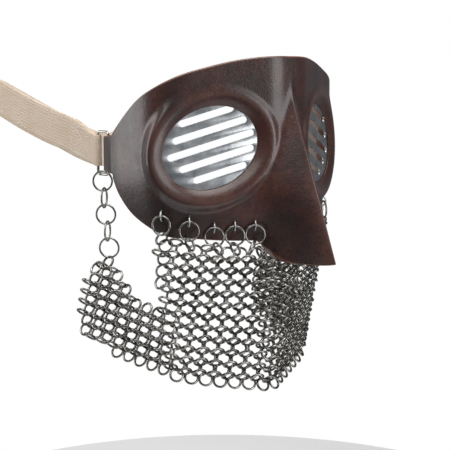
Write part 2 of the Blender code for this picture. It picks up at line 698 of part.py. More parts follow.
main()
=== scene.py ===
"""The looks of the leather face mask with its chain mail veil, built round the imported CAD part.

Metres, in the CAD's frame: +Z up, the mask faces -Y, and the wearer's right is -X. The shape
formulas repeat the CAD part's, so that each fine piece lies where its CAD solid is.
"""

import math

import bmesh
import bpy
import numpy as np
from mathutils import Matrix, Vector


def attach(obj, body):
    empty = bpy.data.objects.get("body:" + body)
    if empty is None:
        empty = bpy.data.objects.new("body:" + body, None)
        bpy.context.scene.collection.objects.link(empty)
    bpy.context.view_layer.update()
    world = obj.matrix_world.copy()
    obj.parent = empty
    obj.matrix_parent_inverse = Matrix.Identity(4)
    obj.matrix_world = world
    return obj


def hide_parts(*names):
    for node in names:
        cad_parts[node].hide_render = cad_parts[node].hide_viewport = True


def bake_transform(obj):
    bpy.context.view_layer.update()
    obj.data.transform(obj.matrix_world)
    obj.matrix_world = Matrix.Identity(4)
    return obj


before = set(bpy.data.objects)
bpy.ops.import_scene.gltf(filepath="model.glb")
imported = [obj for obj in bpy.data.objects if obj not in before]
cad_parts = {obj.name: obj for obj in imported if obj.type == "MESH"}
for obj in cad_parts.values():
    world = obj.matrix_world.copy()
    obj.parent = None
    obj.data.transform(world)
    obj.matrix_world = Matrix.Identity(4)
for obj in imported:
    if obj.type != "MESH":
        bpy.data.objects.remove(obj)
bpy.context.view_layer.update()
RANDOM = np.random.default_rng(7)

MM = 0.001
MERGE = 0.001 * MM
SIDES = {"right": -1, "left": 1}

# Shape constants, as in the CAD part.
BROW_Y = -2.6 * MM
BROW_TURN, BROW_END = math.radians(30), 20 * MM
TEMPLE_START, TEMPLE_END, TEMPLE_TURN = 58 * MM, 106 * MM, math.radians(88)
REAR_EDGE, REAR_TURN = 127 * MM, math.radians(95)
LEATHER = 2.4 * MM
TOP_EDGE = [(0, 35), (9, 35), (22, 34.3), (38, 32), (54, 28.2), (70, 23.5), (87, 15.8),
            (101.5, 8), (118, -4.8), (127, -12.5)]
BOTTOM_EDGE = [(127, -40), (122, -49.8), (111, -61.2), (96, -68.8), (79, -73.4),
               (63.5, -74.4), (48, -75.9), (34, -76.6), (23, -76.8), (19, -78.6), (16, -82.3),
               (12.5, -87), (9, -89), (4, -89.2), (0, -87.4)]
CHEEK_TUCK, TUCK_FROM, TUCK_SPAN = 9 * MM, -30 * MM, 45 * MM
BROW_LEAN, LEAN_FROM, LEAN_SPAN = 0.4 * MM, 10 * MM, 25 * MM
RIDGE_SLOPE, RIDGE_FROM, RIDGE_ROUND = 0.395, 12 * MM, 1.5 * MM
FLANK_SLOPE, FLANK_STEEPER, NOSE_LENGTH = 1.4, 3.9, 80 * MM
CREASE, NOSE_HALF = 1.6 * MM, 24 * MM
EYE_S, EYE_Z, EYE_TILT = 51 * MM, -19.5 * MM, math.radians(25)
EYE_LONG, EYE_SHORT = 30 * MM, 24 * MM
PLATE_RECESS, EDGE_LIFT, SEAT_LIFT = 3.4 * MM, 0.9 * MM, 0.3 * MM
CREST_LIFT, CREST_LIFT_REAR, CREST_AT, CREST_AT_NOSE = 5.1 * MM, 3.1 * MM, 6.5 * MM, 8.2 * MM
RIM_FALL, RIM_FALL_REAR = 6 * MM, 10 * MM
PLATE, PLATE_LAP = 1.0 * MM, 3.2 * MM
SLOT_WIDTH, SLOT_TILT, SLOT_PITCH = 4.1 * MM, math.radians(17), 8.7 * MM
SLOTS = [(2, -13.8, 20.7), (1, -20.3, 26.3), (0, -26.2, 28.2), (-1, -21.4, 25.5), (-2, -15.3, 18.3)]
SLOT_SHIFT = 1.5 * MM
RETAINER_LAP, RETAINER = 6.2 * MM, 2.6 * MM
LOOP_WIRE, LOOP_HALF_HEIGHT, LOOP_LENGTH, LOOP_CORNER = 0.9 * MM, 13.4 * MM, 10.9 * MM, 2.2 * MM
LOOP_Z = -25 * MM
BAR_BACK, BAR_IN = 11.6 * MM, 4.5 * MM
LOOP_SPLAY = {"right": math.radians(3), "left": math.radians(30)}
TAB, TAB_HALF, FLAP = 1.8 * MM, 10.9 * MM, 12 * MM
GAP = 0.3 * MM
STRAP, STRAP_HALF, STRAP_HALF_END, STRAP_HALF_FREE = 1.4 * MM, 9.8 * MM, 11.3 * MM, 12.8 * MM
STRAP_Z, FOLD_LENGTH, END_LENGTH = -23.4 * MM, 27 * MM, 30 * MM
STRAP_RISE, FOLD_LEAN = {"right": 9.1 * MM, "left": 15.5 * MM}, 0.87
STRAP_LEFT = [(0.0975, 0.1405, -0.001), (0.1005, 0.153, 0.012), (0.0985, 0.168, 0.0175),
              (0.092, 0.188, 0.016), (0.085, 0.207, 0.010), (0.078, 0.224, 0.001),
              (0.072, 0.237, -0.0095), (0.064, 0.2465, -0.0205), (0.053, 0.2525, -0.03)]
RING, RING_WIRE = 5.8 * MM, 0.62 * MM
LINK = 6.2 * MM
STAPLE, STAPLE_WIRE = 3.25 * MM, 0.55 * MM
LINK_TURN = math.radians(50)
CHAIN_ALONG, CHAIN_END = 6.4 * MM, (70 * MM, 90.4 * MM)
LINK_SLACK = 0.7 * MM
HOOKS = [(82, -59.8, 4), (63.8, -63.4, 4), (48.3, -67.4, 22), (35.7, -66.8, 18), (23.2, -66.4, 8)]
MAIL_TOP, MAIL_IN, MAIL_CLOSING = -81.5 * MM, 5 * MM, 0.165
CURTAIN_END, HEM_FRONT, HEM_RISE = 88 * MM, -174 * MM, 12 * MM
NOSE_SAG, SAG_FLAT, SAG_RISE = 10.5 * MM, 5 * MM, 17 * MM
WING_REAR = (76 * MM, 117 * MM)
WING_TOP = [(0.012, -118), (0.2, -119), (0.31, -111), (0.46, -102), (0.56, -94), (0.62, -92),
            (0.7, -92), (0.76, -94), (0.87, -104.6), (0.97, -121)]
WING_HEM = [(0.012, -162), (0.32, -159), (0.5, -157), (0.65, -153), (0.8, -150.5), (0.89, -149.5),
            (0.97, -136)]

# Mail rings, and the top row's centres as (s, z): low between the hooks, high at each one.
MAIL_RING, MAIL_WIRE = 4.0 * MM, 0.74 * MM
MAIL_PITCH, MAIL_ROWS, MAIL_LEAN = 9.3 * MM, 24, math.radians(42)
TOP_ROW = [(0, -93.5), (6, -93), (11, -90.5), (17, -85), (23.2, -80.2), (29.5, -79.6), (35.7, -80.6),
           (42, -79.8), (48.3, -80.8), (56, -78.8), (63.8, -77.2), (73, -75.8), (82, -73.6), (88, -76)]


# ---------------------------------------------------------------- shape formulas

def smooth(t):
    """0 to 1 with level ends."""
    t = np.clip(t, 0, 1)
    return t * t * t * (t * (6 * t - 15) + 10)


def soft_less(a, b, width):
    """The lesser of a and b, with a rounded change between them."""
    return np.minimum(a, b) - width * np.log1p(np.exp(-np.abs(a - b) / width))


def along(points, t):
    """A polyline of (t, value) pairs, read at t."""
    return np.interp(t, [p[0] for p in points], [p[1] for p in points])


def curve_through(points, steps):
    """Points on a smooth curve through the given ones, with steps between each two."""
    p = np.array(points, float)
    p = np.vstack([2 * p[0] - p[1], p, 2 * p[-1] - p[-2]])
    out = []
    for i in range(1, len(p) - 2):
        for t in np.arange(steps) / steps:
            out.append(0.5 * (2 * p[i] + (p[i + 1] - p[i - 1]) * t
                              + (2 * p[i - 1] - 5 * p[i] + 4 * p[i + 1] - p[i + 2]) * t**2
                              + (3 * p[i] - p[i - 1] - 3 * p[i + 1] + p[i + 2]) * t**3))
    return np.array(out + [p[-2]])


def facing(s):
    """The angle from straight ahead of the outward normal at s."""
    return (BROW_TURN * smooth(s / BROW_END)
            + (TEMPLE_TURN - BROW_TURN) * smooth((s - TEMPLE_START) / (TEMPLE_END - TEMPLE_START))
            + (REAR_TURN - TEMPLE_TURN) * smooth((s - TEMPLE_END) / (REAR_EDGE - TEMPLE_END)))


WRAP_S = np.arange(0, 140 * MM, 0.1 * MM)
WRAP_TURN = facing((WRAP_S[1:] + WRAP_S[:-1]) / 2)
WRAP_X = np.concatenate([[0], np.cumsum(np.cos(WRAP_TURN) * np.diff(WRAP_S))])
WRAP_Y = BROW_Y + np.concatenate([[0], np.cumsum(np.sin(WRAP_TURN) * np.diff(WRAP_S))])


def wrap(s, z, inward):
    """The point at s and z on the wrap, moved inwards along its normal."""
    s, z = np.broadcast_arrays(np.asarray(s, float), np.asarray(z, float))
    turn = facing(s)
    x = np.interp(s, WRAP_S, WRAP_X) - inward * np.sin(turn)
    y = np.interp(s, WRAP_S, WRAP_Y) + inward * np.cos(turn)
    return np.stack([x, y, z], -1)


def tuck(z):
    """How far the leather leans in, below the eyes and at the top of the brow."""
    low = np.clip((TUCK_FROM - z) / TUCK_SPAN, 0, None)
    high = np.clip((z - LEAN_FROM) / LEAN_SPAN, 0, None)
    return CHEEK_TUCK * low**1.8 + BROW_LEAN * high**2


def opening_radius(angle):
    """The oval's radius at an angle in (s, z) about its centre; its long axis rises to the nose."""
    a = angle - (math.pi - EYE_TILT)
    return 1 / np.sqrt((np.cos(a) / EYE_LONG) ** 2 + (np.sin(a) / EYE_SHORT) ** 2)


def rim_distance(s, z):
    """How far a point is outside the eye opening, its angle about it, and where the crest is."""
    angle = np.arctan2(z - EYE_Z, s - EYE_S)
    beyond = np.hypot(s - EYE_S, z - EYE_Z) - opening_radius(angle)
    rearward = (1 + np.cos(angle)) / 2
    return beyond, rearward, CREST_AT_NOSE + (CREST_AT - CREST_AT_NOSE) * rearward


def shell_point(s, z, inner):
    """The leather's outer or inner face at s and z, for the half with positive X."""
    s, z = np.broadcast_arrays(np.asarray(s, float), np.asarray(z, float))
    beyond, rearward, crest_at = rim_distance(s, z)
    crest = CREST_LIFT + (CREST_LIFT_REAR - CREST_LIFT) * rearward
    rise = np.sin(math.pi / 2 * np.clip(beyond / crest_at, 0, 1))
    lift = SEAT_LIFT if inner else EDGE_LIFT + (crest - EDGE_LIFT) * rise
    centre = wrap(EYE_S, 0, 0)
    facet = np.stack([centre[0] + (s - EYE_S) * math.cos(BROW_TURN)
                      + (lift - PLATE_RECESS) * math.sin(BROW_TURN),
                      centre[1] + (s - EYE_S) * math.sin(BROW_TURN)
                      - (lift - PLATE_RECESS) * math.cos(BROW_TURN), z], -1)
    fall = RIM_FALL + (RIM_FALL_REAR - RIM_FALL) * rearward
    share = smooth((beyond - crest_at) / fall)[..., None]
    depth = tuck(z) + (LEATHER if inner else 0)
    p = facet * (1 - share) + wrap(s, z, depth) * share
    steepness = FLANK_SLOPE + FLANK_STEEPER * np.clip(-z / NOSE_LENGTH, 0, None) ** 4.5
    flank = steepness * (np.sqrt(p[..., 0] ** 2 + RIDGE_ROUND**2) - RIDGE_ROUND)
    flank = flank + np.clip(p[..., 0] - NOSE_HALF, 0, None) ** 2 / (4 * MM)
    nose = BROW_Y - RIDGE_SLOPE * (RIDGE_FROM - z) + flank
    if inner:
        nose = nose + LEATHER * np.sqrt(1 + steepness**2)
    p[..., 1] = soft_less(p[..., 1], nose, CREASE)
    return p


def outward_at(s, z):
    """The leather's outward unit normal at s and z, for the half with positive X."""
    step = 0.5 * MM
    across = shell_point(s + step, z, False) - shell_point(s - step, z, False)
    up = shell_point(s, z + step, False) - shell_point(s, z - step, False)
    normal = np.cross(across, up)
    return normal / np.linalg.norm(normal)


def rear_frame():
    """The plan point at the shell's rear edge, the way on behind it, and the way inwards."""
    turn = facing(REAR_EDGE)
    edge = wrap(REAR_EDGE, 0, 0)[:2]
    return edge, np.array([math.cos(turn), math.sin(turn)]), np.array([-math.sin(turn), math.cos(turn)])


def behind(back, inwards):
    """The plan point this far behind the rear edge and this far in from the outer face."""
    edge, rear, inner = rear_frame()
    return edge + back * rear + inwards * inner


def round_bar(start, bar, radius, finish, steps):
    """A plan path from start, round the far side of a bar turning left, to finish."""
    start, bar, finish = (np.array(v, float) for v in (start, bar, finish))

    def heading(point, sign):
        to_bar = (bar - point) * sign
        lean = math.asin(radius / np.linalg.norm(to_bar))
        return math.atan2(to_bar[1], to_bar[0]) - sign * lean

    first, last = heading(start, 1), heading(finish, -1)
    while last < first:
        last += 2 * math.pi
    turns = np.linspace(first, last, steps)
    arc = [bar + radius * np.array([math.sin(a), -math.cos(a)]) for a in turns]
    return [start, *arc, finish]


def lengths_along(path):
    """How far each point is from the first one, along a path."""
    return np.concatenate([[0], np.cumsum(np.linalg.norm(np.diff(path, axis=0), axis=1))])


def resample(path, step):
    """Points at an even spacing along a path, with its ends kept."""
    path = np.array(path, float)
    far = lengths_along(path)
    at = np.linspace(0, far[-1], max(2, int(round(far[-1] / step)) + 1))
    return np.stack([np.interp(at, far, path[:, i]) for i in range(path.shape[1])], 1)


def unit(v):
    v = np.asarray(v, float)
    return v / np.linalg.norm(v, axis=-1, keepdims=True)


def from_angles(azimuth, elevation):
    """The unit vector towards an azimuth and elevation in degrees; azimuth 0 is in front, at -Y."""
    a, e = math.radians(azimuth), math.radians(elevation)
    return Vector((math.sin(a) * math.cos(e), -math.cos(a) * math.cos(e), math.sin(e)))


# ---------------------------------------------------------------- meshes

def mirrored(points, side):
    return np.asarray(points, float) * (side, 1, 1)


def grid_faces(rows, columns, start=0, close_rows=False, close_columns=True):
    """Quads over points numbered row by row from start, closed round either way."""
    faces = []
    for i in range(rows if close_rows else rows - 1):
        a, b = start + i * columns, start + (i + 1) % rows * columns
        for j in range(columns if close_columns else columns - 1):
            k = (j + 1) % columns
            faces.append((a + j, a + k, b + k, b + j))
    return faces


def end_faces(rows, columns, start=0):
    """The two faces that close the ends of a grid closed round its columns."""
    last = start + (rows - 1) * columns
    return [tuple(range(start, start + columns)), tuple(reversed(range(last, last + columns)))]


def face_outwards(mesh, merge=0.0):
    """Turns the mesh's faces outwards, after points closer than merge are joined."""
    work = bmesh.new()
    work.from_mesh(mesh)
    if merge:
        bmesh.ops.remove_doubles(work, verts=work.verts, dist=merge)
    bmesh.ops.recalc_face_normals(work, faces=work.faces)
    work.to_mesh(mesh)
    work.free()


def add_to_scene(name, data):
    obj = bpy.data.objects.new(name, data)
    bpy.context.scene.collection.objects.link(obj)
    return obj


def new_piece(name, points, faces, look, body=None, replaces=(), values=None, uv=None,
              sharp=50):
    """A mesh piece with outward normals. values are per-point numbers, uv per-point pairs."""
    mesh = bpy.data.meshes.new(name)
    mesh.from_pydata(np.asarray(points, float).tolist(), [], [tuple(map(int, f)) for f in faces])
    for title, numbers in (values or {}).items():
        layer = mesh.attributes.new(title, "FLOAT", "POINT")
        layer.data.foreach_set("value", np.asarray(numbers, np.float32).ravel())
    if uv is not None:
        layer = mesh.uv_layers.new(name="UVMap")
        corners = np.empty(len(mesh.loops), np.int32)
        mesh.loops.foreach_get("vertex_index", corners)
        layer.data.foreach_set("uv", np.asarray(uv, np.float32)[corners].ravel())
    face_outwards(mesh, MERGE)
    mesh.shade_smooth()
    mesh.set_sharp_from_angle(angle=math.radians(sharp))
    mesh.materials.append(look)
    obj = add_to_scene(name, mesh)
    if body:
        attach(obj, body)
    if replaces:
        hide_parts(*replaces)
    return obj


def baked(obj):
    """Puts the result of obj's modifiers into its mesh."""
    bpy.context.view_layer.update()
    made = bpy.data.meshes.new_from_object(obj.evaluated_get(bpy.context.evaluated_depsgraph_get()))
    obj.modifiers.clear()
    old, obj.data = obj.data, made
    bpy.data.meshes.remove(old)
    return obj


def torus(radius, wire, steps, sides, gap=0.12 * MM):
    """A wire ring about +Z with a butted seam at angle 0: points, faces and the seam's two faces."""
    open_angle = gap / radius
    turns = np.linspace(open_angle / 2, 2 * math.pi - open_angle / 2, steps + 1)
    around = 2 * math.pi * np.arange(sides) / sides
    out = radius + wire * np.cos(around)
    lift = np.broadcast_to(wire * np.sin(around), (len(turns), sides))
    points = np.stack([np.outer(np.cos(turns), out), np.outer(np.sin(turns), out), lift], -1)
    faces = [(a, d, c, b) for a, b, c, d in grid_faces(steps + 1, sides)]
    return points.reshape(-1, 3), faces, end_faces(steps + 1, sides)


def placed(points, centre, normal, up, turn):
    """Points about +Z moved so that +Z is the normal, with the seam turned about it from up."""
    normal = unit(normal)
    level = unit(np.cross(up, normal))
    up = np.cross(normal, level)
    cos, sin = math.cos(turn), math.sin(turn)
    x, y = cos * level + sin * up, -sin * level + cos * up
    return np.asarray(centre) + points @ np.stack([x, y, normal])


def tube(path, normals, wire, sides):
    """A closed planar wire along a path, with the plane's normal: points and faces."""
    path = np.asarray(path, float)
    ahead = unit(np.roll(path, -1, 0) - np.roll(path, 1, 0))
    across = np.cross(ahead, normals)
    a = 2 * math.pi * np.arange(sides) / sides
    points = (path[:, None] + wire * (np.cos(a)[None, :, None] * across[:, None]
                                      + np.sin(a)[None, :, None] * np.asarray(normals)))
    return points.reshape(-1, 3), grid_faces(len(path), sides, close_rows=True)


# ---------------------------------------------------------------- materials

class Nodes:
    """A Principled material and short ways of adding nodes to it."""

    def __init__(self, name, roughness, metallic=0.0):
        self.material = bpy.data.materials.new(name)
        self.material.use_nodes = True
        self.tree = self.material.node_tree
        self.shader = self.tree.nodes["Principled BSDF"]
        self.shader.inputs["Roughness"].default_value = roughness
        self.shader.inputs["Metallic"].default_value = metallic

    def add(self, kind, inputs=None, **settings):
        node = self.tree.nodes.new("ShaderNode" + kind)
        for key, value in settings.items():
            setattr(node, key, value)
        for key, value in (inputs or {}).items():
            self.put(node.inputs[key], value)
        return node

    def put(self, socket, value):
        if isinstance(value, bpy.types.NodeSocket):
            self.tree.links.new(value, socket)
        else:
            socket.default_value = value

    def place(self):
        return self.add("TexCoord").outputs["Object"]

    def uv(self):
        return self.add("TexCoord").outputs["UV"]

    def noise(self, scale, detail=3.0, rough=0.5, vector=None):
        node = self.add("TexNoise", {"Scale": scale, "Detail": detail, "Roughness": rough,
                                     "Vector": vector or self.place()})
        return node.outputs["Fac"]

    def pebbles(self, scale, vector=None):
        node = self.add("TexVoronoi", {"Scale": scale, "Vector": vector or self.place()},
                        feature="SMOOTH_F1")
        return node.outputs["Distance"]

    def math(self, operation, a, b=0.0, clamp=False):
        node = self.add("Math", {0: a, 1: b}, operation=operation, use_clamp=clamp)
        return node.outputs[0]

    def ramp(self, value, stops):
        node = self.add("ValToRGB", {"Fac": value})
        ramp = node.color_ramp
        while len(ramp.elements) < len(stops):
            ramp.elements.new(0.5)
        for element, (at, colour) in zip(ramp.elements, stops):
            element.position = at
            element.color = (*colour, 1) if len(colour) == 3 else colour
        return node.outputs["Color"]

    def span(self, value, low, high, to_low=0.0, to_high=1.0):
        node = self.add("MapRange", {"Value": value, "From Min": low, "From Max": high,
                                     "To Min": to_low, "To Max": to_high})
        return node.outputs["Result"]

    def mix(self, share, a, b, blend="MIX"):
        node = self.add("Mix", data_type="RGBA", blend_type=blend)
        self.put(node.inputs[0], share)
        self.put(node.inputs[6], a if isinstance(a, bpy.types.NodeSocket) else (*a, 1))
        self.put(node.inputs[7], b if isinstance(b, bpy.types.NodeSocket) else (*b, 1))
        return node.outputs[2]

    def value(self, name):
        return self.add("Attribute", attribute_name=name).outputs["Fac"]

    def bump(self, height, strength, distance, below=None):
        inputs = {"Height": height, "Strength": strength, "Distance": distance}
        node = self.add("Bump", inputs)
        if below is not None:
            self.put(node.inputs["Normal"], below)
        return node.outputs["Normal"]

    def finish(self, **inputs):
        for key, value in inputs.items():
            self.put(self.shader.inputs[key.replace("_", " ")], value)
        return self.material


def leather_look():
    """Dark reddish-brown leather, mottled, lighter on its crests and nose ridge from wear and a painted
    highlight, with lighter raw edges.
    """
    n = Nodes("leather_brown", 0.4)
    broad = n.noise(38, 4, 0.55)
    fine = n.noise(420, 4, 0.6)
    base = n.ramp(broad, [(0.35, (0.013, 0.0027, 0.0016)), (0.5, (0.029, 0.0064, 0.0037)),
                          (0.65, (0.053, 0.013, 0.0072))])
    spots = n.span(fine, 0.35, 0.7, 0.62, 1.35)
    grey = n.add("CombineColor", {0: spots, 1: spots, 2: spots}).outputs[0]
    base = n.mix(1.0, base, grey, "MULTIPLY")
    base = n.mix(n.math("MULTIPLY", n.value("well"), 0.45), base, (0.055, 0.0125, 0.005))
    # Crests and the nose ridge are lightened: partly real wear, partly a painted highlight along them.
    base = n.mix(n.math("MULTIPLY", n.value("wear_and_highlight"), 0.5), base, (0.1, 0.037, 0.025))
    raw = n.math("MULTIPLY", n.value("edge"), n.span(n.noise(160, 3), 0.3, 0.6, 0.35, 1.0), True)
    base = n.mix(raw, base, (0.16, 0.052, 0.022))
    lining = n.mix(n.value("lining"), base, (0.105, 0.05, 0.03))
    rough = n.span(n.noise(95, 4, 0.65), 0.3, 0.7, 0.34, 0.5)
    rough = n.math("ADD", rough, n.math("MULTIPLY", n.value("lining"), 0.35), True)
    grain = n.bump(n.pebbles(1150), 0.3, 0.00025)
    grain = n.bump(n.noise(520, 5, 0.65), 0.4, 0.0005, grain)
    grain = n.bump(n.noise(90, 4), 0.22, 0.0014, grain)
    return n.finish(Base_Color=lining, Roughness=rough, Normal=grain, Specular_IOR_Level=0.5,
                    Sheen_Weight=0.05, Sheen_Roughness=0.45, Sheen_Tint=(0.85, 0.75, 0.78, 1),
                    Coat_Weight=0.5, Coat_Roughness=0.22)


def raw_leather_look():
    n = Nodes("leather_raw", 0.85)
    base = n.ramp(n.noise(140, 4), [(0.3, (0.13, 0.06, 0.033)), (0.7, (0.27, 0.145, 0.08))])
    return n.finish(Base_Color=base, Normal=n.bump(n.noise(900, 4), 0.6, 0.0003))


def plate_look():
    """Bare steel sheet with soft blue-grey blotches and fine scratches."""
    n = Nodes("steel_plate", 0.3, 1.0)
    blotch = n.noise(75, 5, 0.62)
    base = n.ramp(blotch, [(0.28, (0.42, 0.45, 0.475)), (0.5, (0.55, 0.575, 0.595)),
                           (0.72, (0.66, 0.675, 0.685))])
    rough = n.span(n.noise(150, 4), 0.3, 0.7, 0.26, 0.36)
    long = n.add("Mapping", {"Vector": n.place(), "Scale": (60.0, 60.0, 1500.0)}).outputs[0]
    height = n.bump(n.noise(1.0, 3, vector=long), 0.08, 0.0001)
    return n.finish(Base_Color=base, Roughness=rough,
                    Normal=n.bump(n.noise(260, 4), 0.14, 0.0003, height))


def wire_look(name, dark, light, roughness):
    """Bare drawn wire, darker or lighter from ring to ring, with light scuffs."""
    n = Nodes(name, roughness, 1.0)
    tone = n.math("ADD", n.math("MULTIPLY", n.value("tone"), 0.65),
                  n.math("MULTIPLY", n.noise(700, 3), 0.5))
    base = n.ramp(tone, [(0.15, dark), (0.85, light)])
    rough = n.span(n.noise(1300, 2), 0.3, 0.7, roughness - 0.07, roughness + 0.12)
    return n.finish(Base_Color=base, Roughness=rough, Normal=n.bump(n.noise(2600, 2), 0.15, 0.0001))


def elastic_look():
    """Woven elastic: fine diagonal ribs that turn back on themselves in narrow bands."""
    n = Nodes("elastic_beige", 0.85)
    split = n.add("SeparateXYZ", {0: n.uv()})
    u, v = split.outputs[0], split.outputs[1]
    rib, band_width, slant = 0.00135, 0.0021, 0.8
    zigzag = n.math("PINGPONG", v, band_width)
    slanted = n.math("ADD", u, n.math("MULTIPLY", zigzag, slant))
    ribs = n.math("SINE", n.math("MULTIPLY", slanted, 2 * math.pi / rib))
    bands = n.math("SINE", n.math("MULTIPLY", v, 2 * math.pi / band_width))
    weave = n.math("ADD", n.math("MULTIPLY", ribs, 0.7), n.math("MULTIPLY", bands, 0.3))
    shade = n.span(weave, -1, 1, 0.0, 1.0)
    base = n.mix(shade, (0.6, 0.46, 0.34), (0.84, 0.7, 0.555))
    cloud = n.span(n.noise(70, 3), 0.3, 0.7, 0.0, 0.3)
    base = n.mix(cloud, base, (0.88, 0.77, 0.65))
    height = n.bump(weave, 0.55, 0.0003)
    return n.finish(Base_Color=base, Normal=n.bump(n.noise(2500, 2), 0.25, 0.0002, height))


def thread_look():
    n = Nodes("thread_white", 0.7)
    base = n.mix(n.span(n.noise(900, 2), 0.3, 0.7), (0.72, 0.68, 0.62), (0.9, 0.88, 0.84))
    return n.finish(Base_Color=base, Normal=n.bump(n.noise(4000, 2), 0.3, 0.0001))


LEATHER_LOOK = leather_look()
RAW_LOOK = raw_leather_look()
PLATE_LOOK = plate_look()
WIRE_LOOK = wire_look("steel_wire_large", (0.14, 0.136, 0.125), (0.42, 0.41, 0.385), 0.24)
STAPLE_LOOK = wire_look("steel_wire_staple", (0.32, 0.33, 0.33), (0.62, 0.63, 0.63), 0.28)
MAIL_LOOK = wire_look("steel_mail", (0.09, 0.088, 0.08), (0.36, 0.352, 0.33), 0.26)
ELASTIC_LOOK = elastic_look()
THREAD_LOOK = thread_look()


# ---------------------------------------------------------------- the leather

EDGE_ROUND = 0.42
TAB_STEP, FLAP_RISE = 0.35 * MM, 0.4 * MM
# Where the leather is reddened round the plate, lighter on crest and nose ridge from wear and a painted
# highlight, and raw at its edge.
WELL_SHARE, CREST_WEAR_AND_HIGHLIGHT, CREST_WIDTH = 0.9, 0.6, 2.0 * MM
NOSE_WEAR_AND_HIGHLIGHT_WIDTH, NOSE_WEAR_AND_HIGHLIGHT_FROM, NOSE_WEAR_AND_HIGHLIGHT_SPAN = 2.2 * MM, 8 * MM, 60 * MM
RAW_FROM, RAW_FADE, RAW_ON_LINING = 0.25 * MM, 1.0 * MM, 0.6
TAB_THINNING, TAB_JOIN = 7 * MM, 9 * MM
TAB_FLARE = [(-3 * MM, 2 * MM), (-1 * MM, 1.8 * MM), (1 * MM, 1.2 * MM), (10.5 * MM, 0)]


def tab_half(back):
    """Half the tab's height at a distance along it from the shell's rear edge."""
    return TAB_HALF + along(TAB_FLARE, back)


def tab_path():
    """The tab's middle line in plan, from the rear edge round the bar and back inside."""
    radius = LOOP_WIRE + GAP + TAB / 2
    flap = LEATHER + GAP + TAB / 2
    path = round_bar((1 * MM, LEATHER / 2), (BAR_BACK, BAR_IN), radius, (-1 * MM, flap), 24)
    path = np.vstack([[0, LEATHER / 2], path, [-FLAP, flap + FLAP_RISE]])
    return resample(path, TAB_STEP)


def leather_edge(end):
    """The edge of the leather in (s, z), along the top, round the tab, and along the bottom."""
    top = curve_through(TOP_EDGE, 10) * MM
    bottom = curve_through(BOTTOM_EDGE, 10) * MM
    back = np.linspace(0, end, 60)
    over = np.stack([REAR_EDGE + back, LOOP_Z + tab_half(back)], 1)
    under = np.stack([REAR_EDGE + back, LOOP_Z - tab_half(back)], 1)[::-1]
    return np.vstack([top, over, under, bottom])


def edge_distance(s, z, edge):
    """Each point's distance to a polyline."""
    p = np.stack([s, z], -1).reshape(-1, 1, 2)
    a, b = edge[None, :-1], edge[None, 1:]
    step = b - a
    length = np.maximum((step**2).sum(-1), 1e-18)
    out = np.empty(len(p))
    for i in range(0, len(p), 4000):
        q = p[i:i + 4000]
        t = np.clip(((q - a) * step).sum(-1) / length, 0, 1)[..., None]
        out[i:i + 4000] = np.sqrt((((a + t * step) - q) ** 2).sum(-1)).min(1)
    return out.reshape(np.shape(s))


def near_ends(low, high, count, fine):
    """count even steps from low to high, with extra ones close to the ends."""
    even = np.linspace(low, high, count)
    sign = 1 if high > low else -1
    extra = np.array(fine) * sign
    inside = even[(np.abs(even - low) > fine[-1] * 1.6) & (np.abs(even - high) > fine[-1] * 1.6)]
    return np.concatenate([[low], low + extra, inside, (high - extra)[::-1], [high]])


# Distances in from the leather's edge and out from the eye opening, where points lie closest,
# and how many points lie between the two.
EDGE_STEPS = np.array([0.08, 0.25, 0.5, 0.85, 1.3]) * MM
RIM_STEPS = np.concatenate([[0, 0.15, 0.4], np.arange(0.8, 15, 0.55)]) * MM
BETWEEN = 32


def leather_half():
    """Half the leather's (s, z) grid, its edge, the tab's path and lengths, and the tab's rows."""
    path = tab_path()
    far = lengths_along(path)
    edge = leather_edge(far[-1])
    top = curve_through(TOP_EDGE, 8) * MM
    bottom = curve_through(BOTTOM_EDGE, 8) * MM
    half = tab_half(0)
    tab_z = near_ends(LOOP_Z + half, LOOP_Z - half, 22, EDGE_STEPS)
    rear_z = np.concatenate([tab_z, np.linspace(LOOP_Z - half, bottom[0][1], 5)[1:-1]])
    rear = np.stack([np.full(len(rear_z), REAR_EDGE), rear_z], 1)
    middle = near_ends(bottom[-1][1], top[0][1], 90, EDGE_STEPS)[1:-1]
    middle = np.stack([0 * middle, middle], 1)
    ring = np.vstack([top, rear, bottom, middle])
    rows = []
    for s, z in ring:
        angle = math.atan2(z - EYE_Z, s - EYE_S)
        inner, outer = opening_radius(angle), math.hypot(s - EYE_S, z - EYE_Z)
        first = inner + RIM_STEPS[-1]
        spread = np.linspace(0, 1, BETWEEN + 2)[1:]
        spread = spread * (1.35 - 0.35 * spread)
        even = first + (outer - first) * spread
        tail = outer - EDGE_STEPS[::-1]
        even = even[even < tail[0] - 0.3 * MM]
        even = np.interp(np.linspace(0, 1, BETWEEN), np.linspace(0, 1, len(even)), even)
        reach = np.concatenate([inner + RIM_STEPS, even, tail, [outer]])
        rows.append(np.stack([EYE_S + reach * math.cos(angle), EYE_Z + reach * math.sin(angle)], 1))
        rows[-1][-1] = (s, z)
    grid = np.array(rows)
    first_tab = len(top)
    return grid, edge, path, far, np.arange(first_tab, first_tab + len(tab_z))


def edge_drop(distance, thickness):
    """The share of the thickness by which each face drops near a rounded edge."""
    r = EDGE_ROUND * thickness
    t = np.clip((r - distance) / r, 0, 1)
    return EDGE_ROUND * (1 - np.sqrt(1 - t * t))


def rawness(distance):
    """1 at the leather's cut edge, fading to 0 away from it."""
    return smooth(1 - (distance - RAW_FROM) / RAW_FADE)


